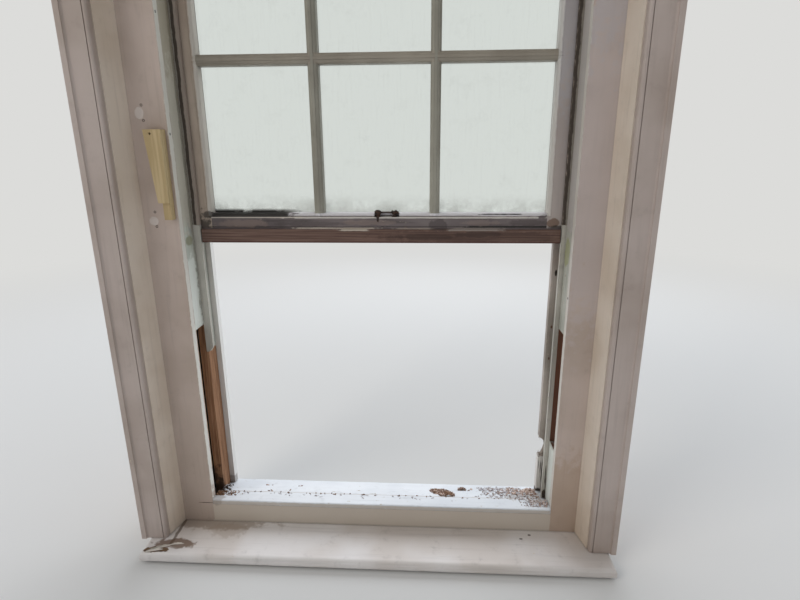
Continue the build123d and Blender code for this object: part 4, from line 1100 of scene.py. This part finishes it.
# %% The mound and its crumbs
POCKET_MIDDLE, POCKET_SIZE, POCKET_FLOOR = (-0.4935, -0.027), (0.083, 0.052), 0.0452
mound = fresh(bpy.ops.mesh.primitive_grid_add, (*POCKET_SIZE, 1), x_subdivisions=28, y_subdivisions=18, size=1,
              location=(*POCKET_MIDDLE, POCKET_FLOOR + 0.001))
for rise_x, rise_y, rise, reach in ((-0.515, -0.010, 0.040, 0.05), (-0.470, -0.008, 0.022, 0.03)):
    pick(mound, lambda place, normal: (place - Vector((rise_x, rise_y, place.z))).length < 0.004, "VERT")
    bpy.ops.transform.translate(value=(0, 0, rise), use_proportional_edit=True, proportional_edit_falloff="SMOOTH",
                                proportional_size=reach)
mound.modifiers.new("thick", "SOLIDIFY").thickness = 0.001
lumps = bpy.data.textures.new("dirt_lumps", "CLOUDS")
lumps.noise_scale = 0.008
rough = mound.modifiers.new("lumps", "DISPLACE")
rough.texture, rough.strength, rough.texture_coords, rough.mid_level = lumps, 0.004, "GLOBAL", 0.4
close_piece(mound, "dirt_mound_in_left_pocket", dirt_dark, smooth=60)


def in_pocket(rng):
    """A place on the mound."""
    x, y = rng.uniform(-0.53, -0.453), rng.uniform(-0.050, -0.002)
    return x, y, 0.048 + max(0, 0.038 * (1 - math.hypot(x + 0.515, y + 0.010) / 0.05))


scatter("crumbs_in_left_pocket", bark_brown, 60, 37, in_pocket, CRUMB, 0.5)

# %% [markdown]
# ## A lifted flake on the window board
# At the board's left end rainwater has lifted the gloss off in curls. Each curl is a narrow grid, thickened to the
# paint's half millimetre and rolled up from one side by turning its rows a little more each time.

# %% Curled paint at the board's end
lifted = old_paint("lifted_white_gloss", "#d9d2c8", "#bfb5a8", grain="x", flaking=0.05, dirt=0.4, gloss=0.35)
BOARD_TOP = 0.0322
ROWS, COLUMNS = 6, 14


def paint_curl(name, at, long, wide, turn, roll, seed):
    """A strip of paint whose far side rolls up, each row turned further round its own place."""
    curl = fresh(bpy.ops.mesh.primitive_grid_add, (long, wide, 1), x_subdivisions=COLUMNS, y_subdivisions=ROWS, size=1)
    for row in range(1, ROWS):
        edge = -wide / 2 + wide * row / ROWS
        pick(curl, lambda place, normal: place.y > edge + 1e-5 or place.z > 1e-5, "VERT")
        shape = bmesh.from_edit_mesh(curl.data)
        height = max((vert.co.z for vert in shape.verts if not vert.select), default=0)
        bpy.ops.transform.rotate(value=-roll / (ROWS - 1), orient_axis="X", center_override=(0, edge, height))
    for step in range(COLUMNS + 1):
        along = -long / 2 + long * step / COLUMNS
        pick(curl, lambda place, normal: abs(place.x - along) < long / 60, "VERT")
        taper = max(0.12, 1 - abs(2 * step / COLUMNS - 1) ** 2.2) * (0.8 + 0.4 * math.sin(step * 2.1 + seed) ** 2)
        bpy.ops.transform.resize(value=(1, taper, taper), center_override=(along, -wide / 2, 0))
    bpy.ops.mesh.select_all(action="SELECT")
    roughen(0.0008, seed)
    only(curl)
    lowest = min(vert.co.z for vert in curl.data.vertices)
    curl.modifiers.new("film", "SOLIDIFY").thickness = 0.0005
    curl.modifiers.new("round", "SUBSURF").levels = 1
    apply_modifiers(curl)
    curl.matrix_world = Matrix.Translation(Vector(at) - Vector((0, 0, lowest))) @ Matrix.Rotation(turn, 4, "Z")
    close_piece(curl, name, lifted, smooth=60)


paint_curl("paint_curl_1", (-0.552, -0.180, BOARD_TOP), 0.070, 0.009, 0.42, 1.5, 2)
paint_curl("paint_curl_2", (-0.561, -0.191, BOARD_TOP), 0.044, 0.007, 0.30, 1.2, 4)
paint_curl("paint_curl_3", (-0.512, -0.166, BOARD_TOP), 0.036, 0.006, 0.15, 1.0, 6)
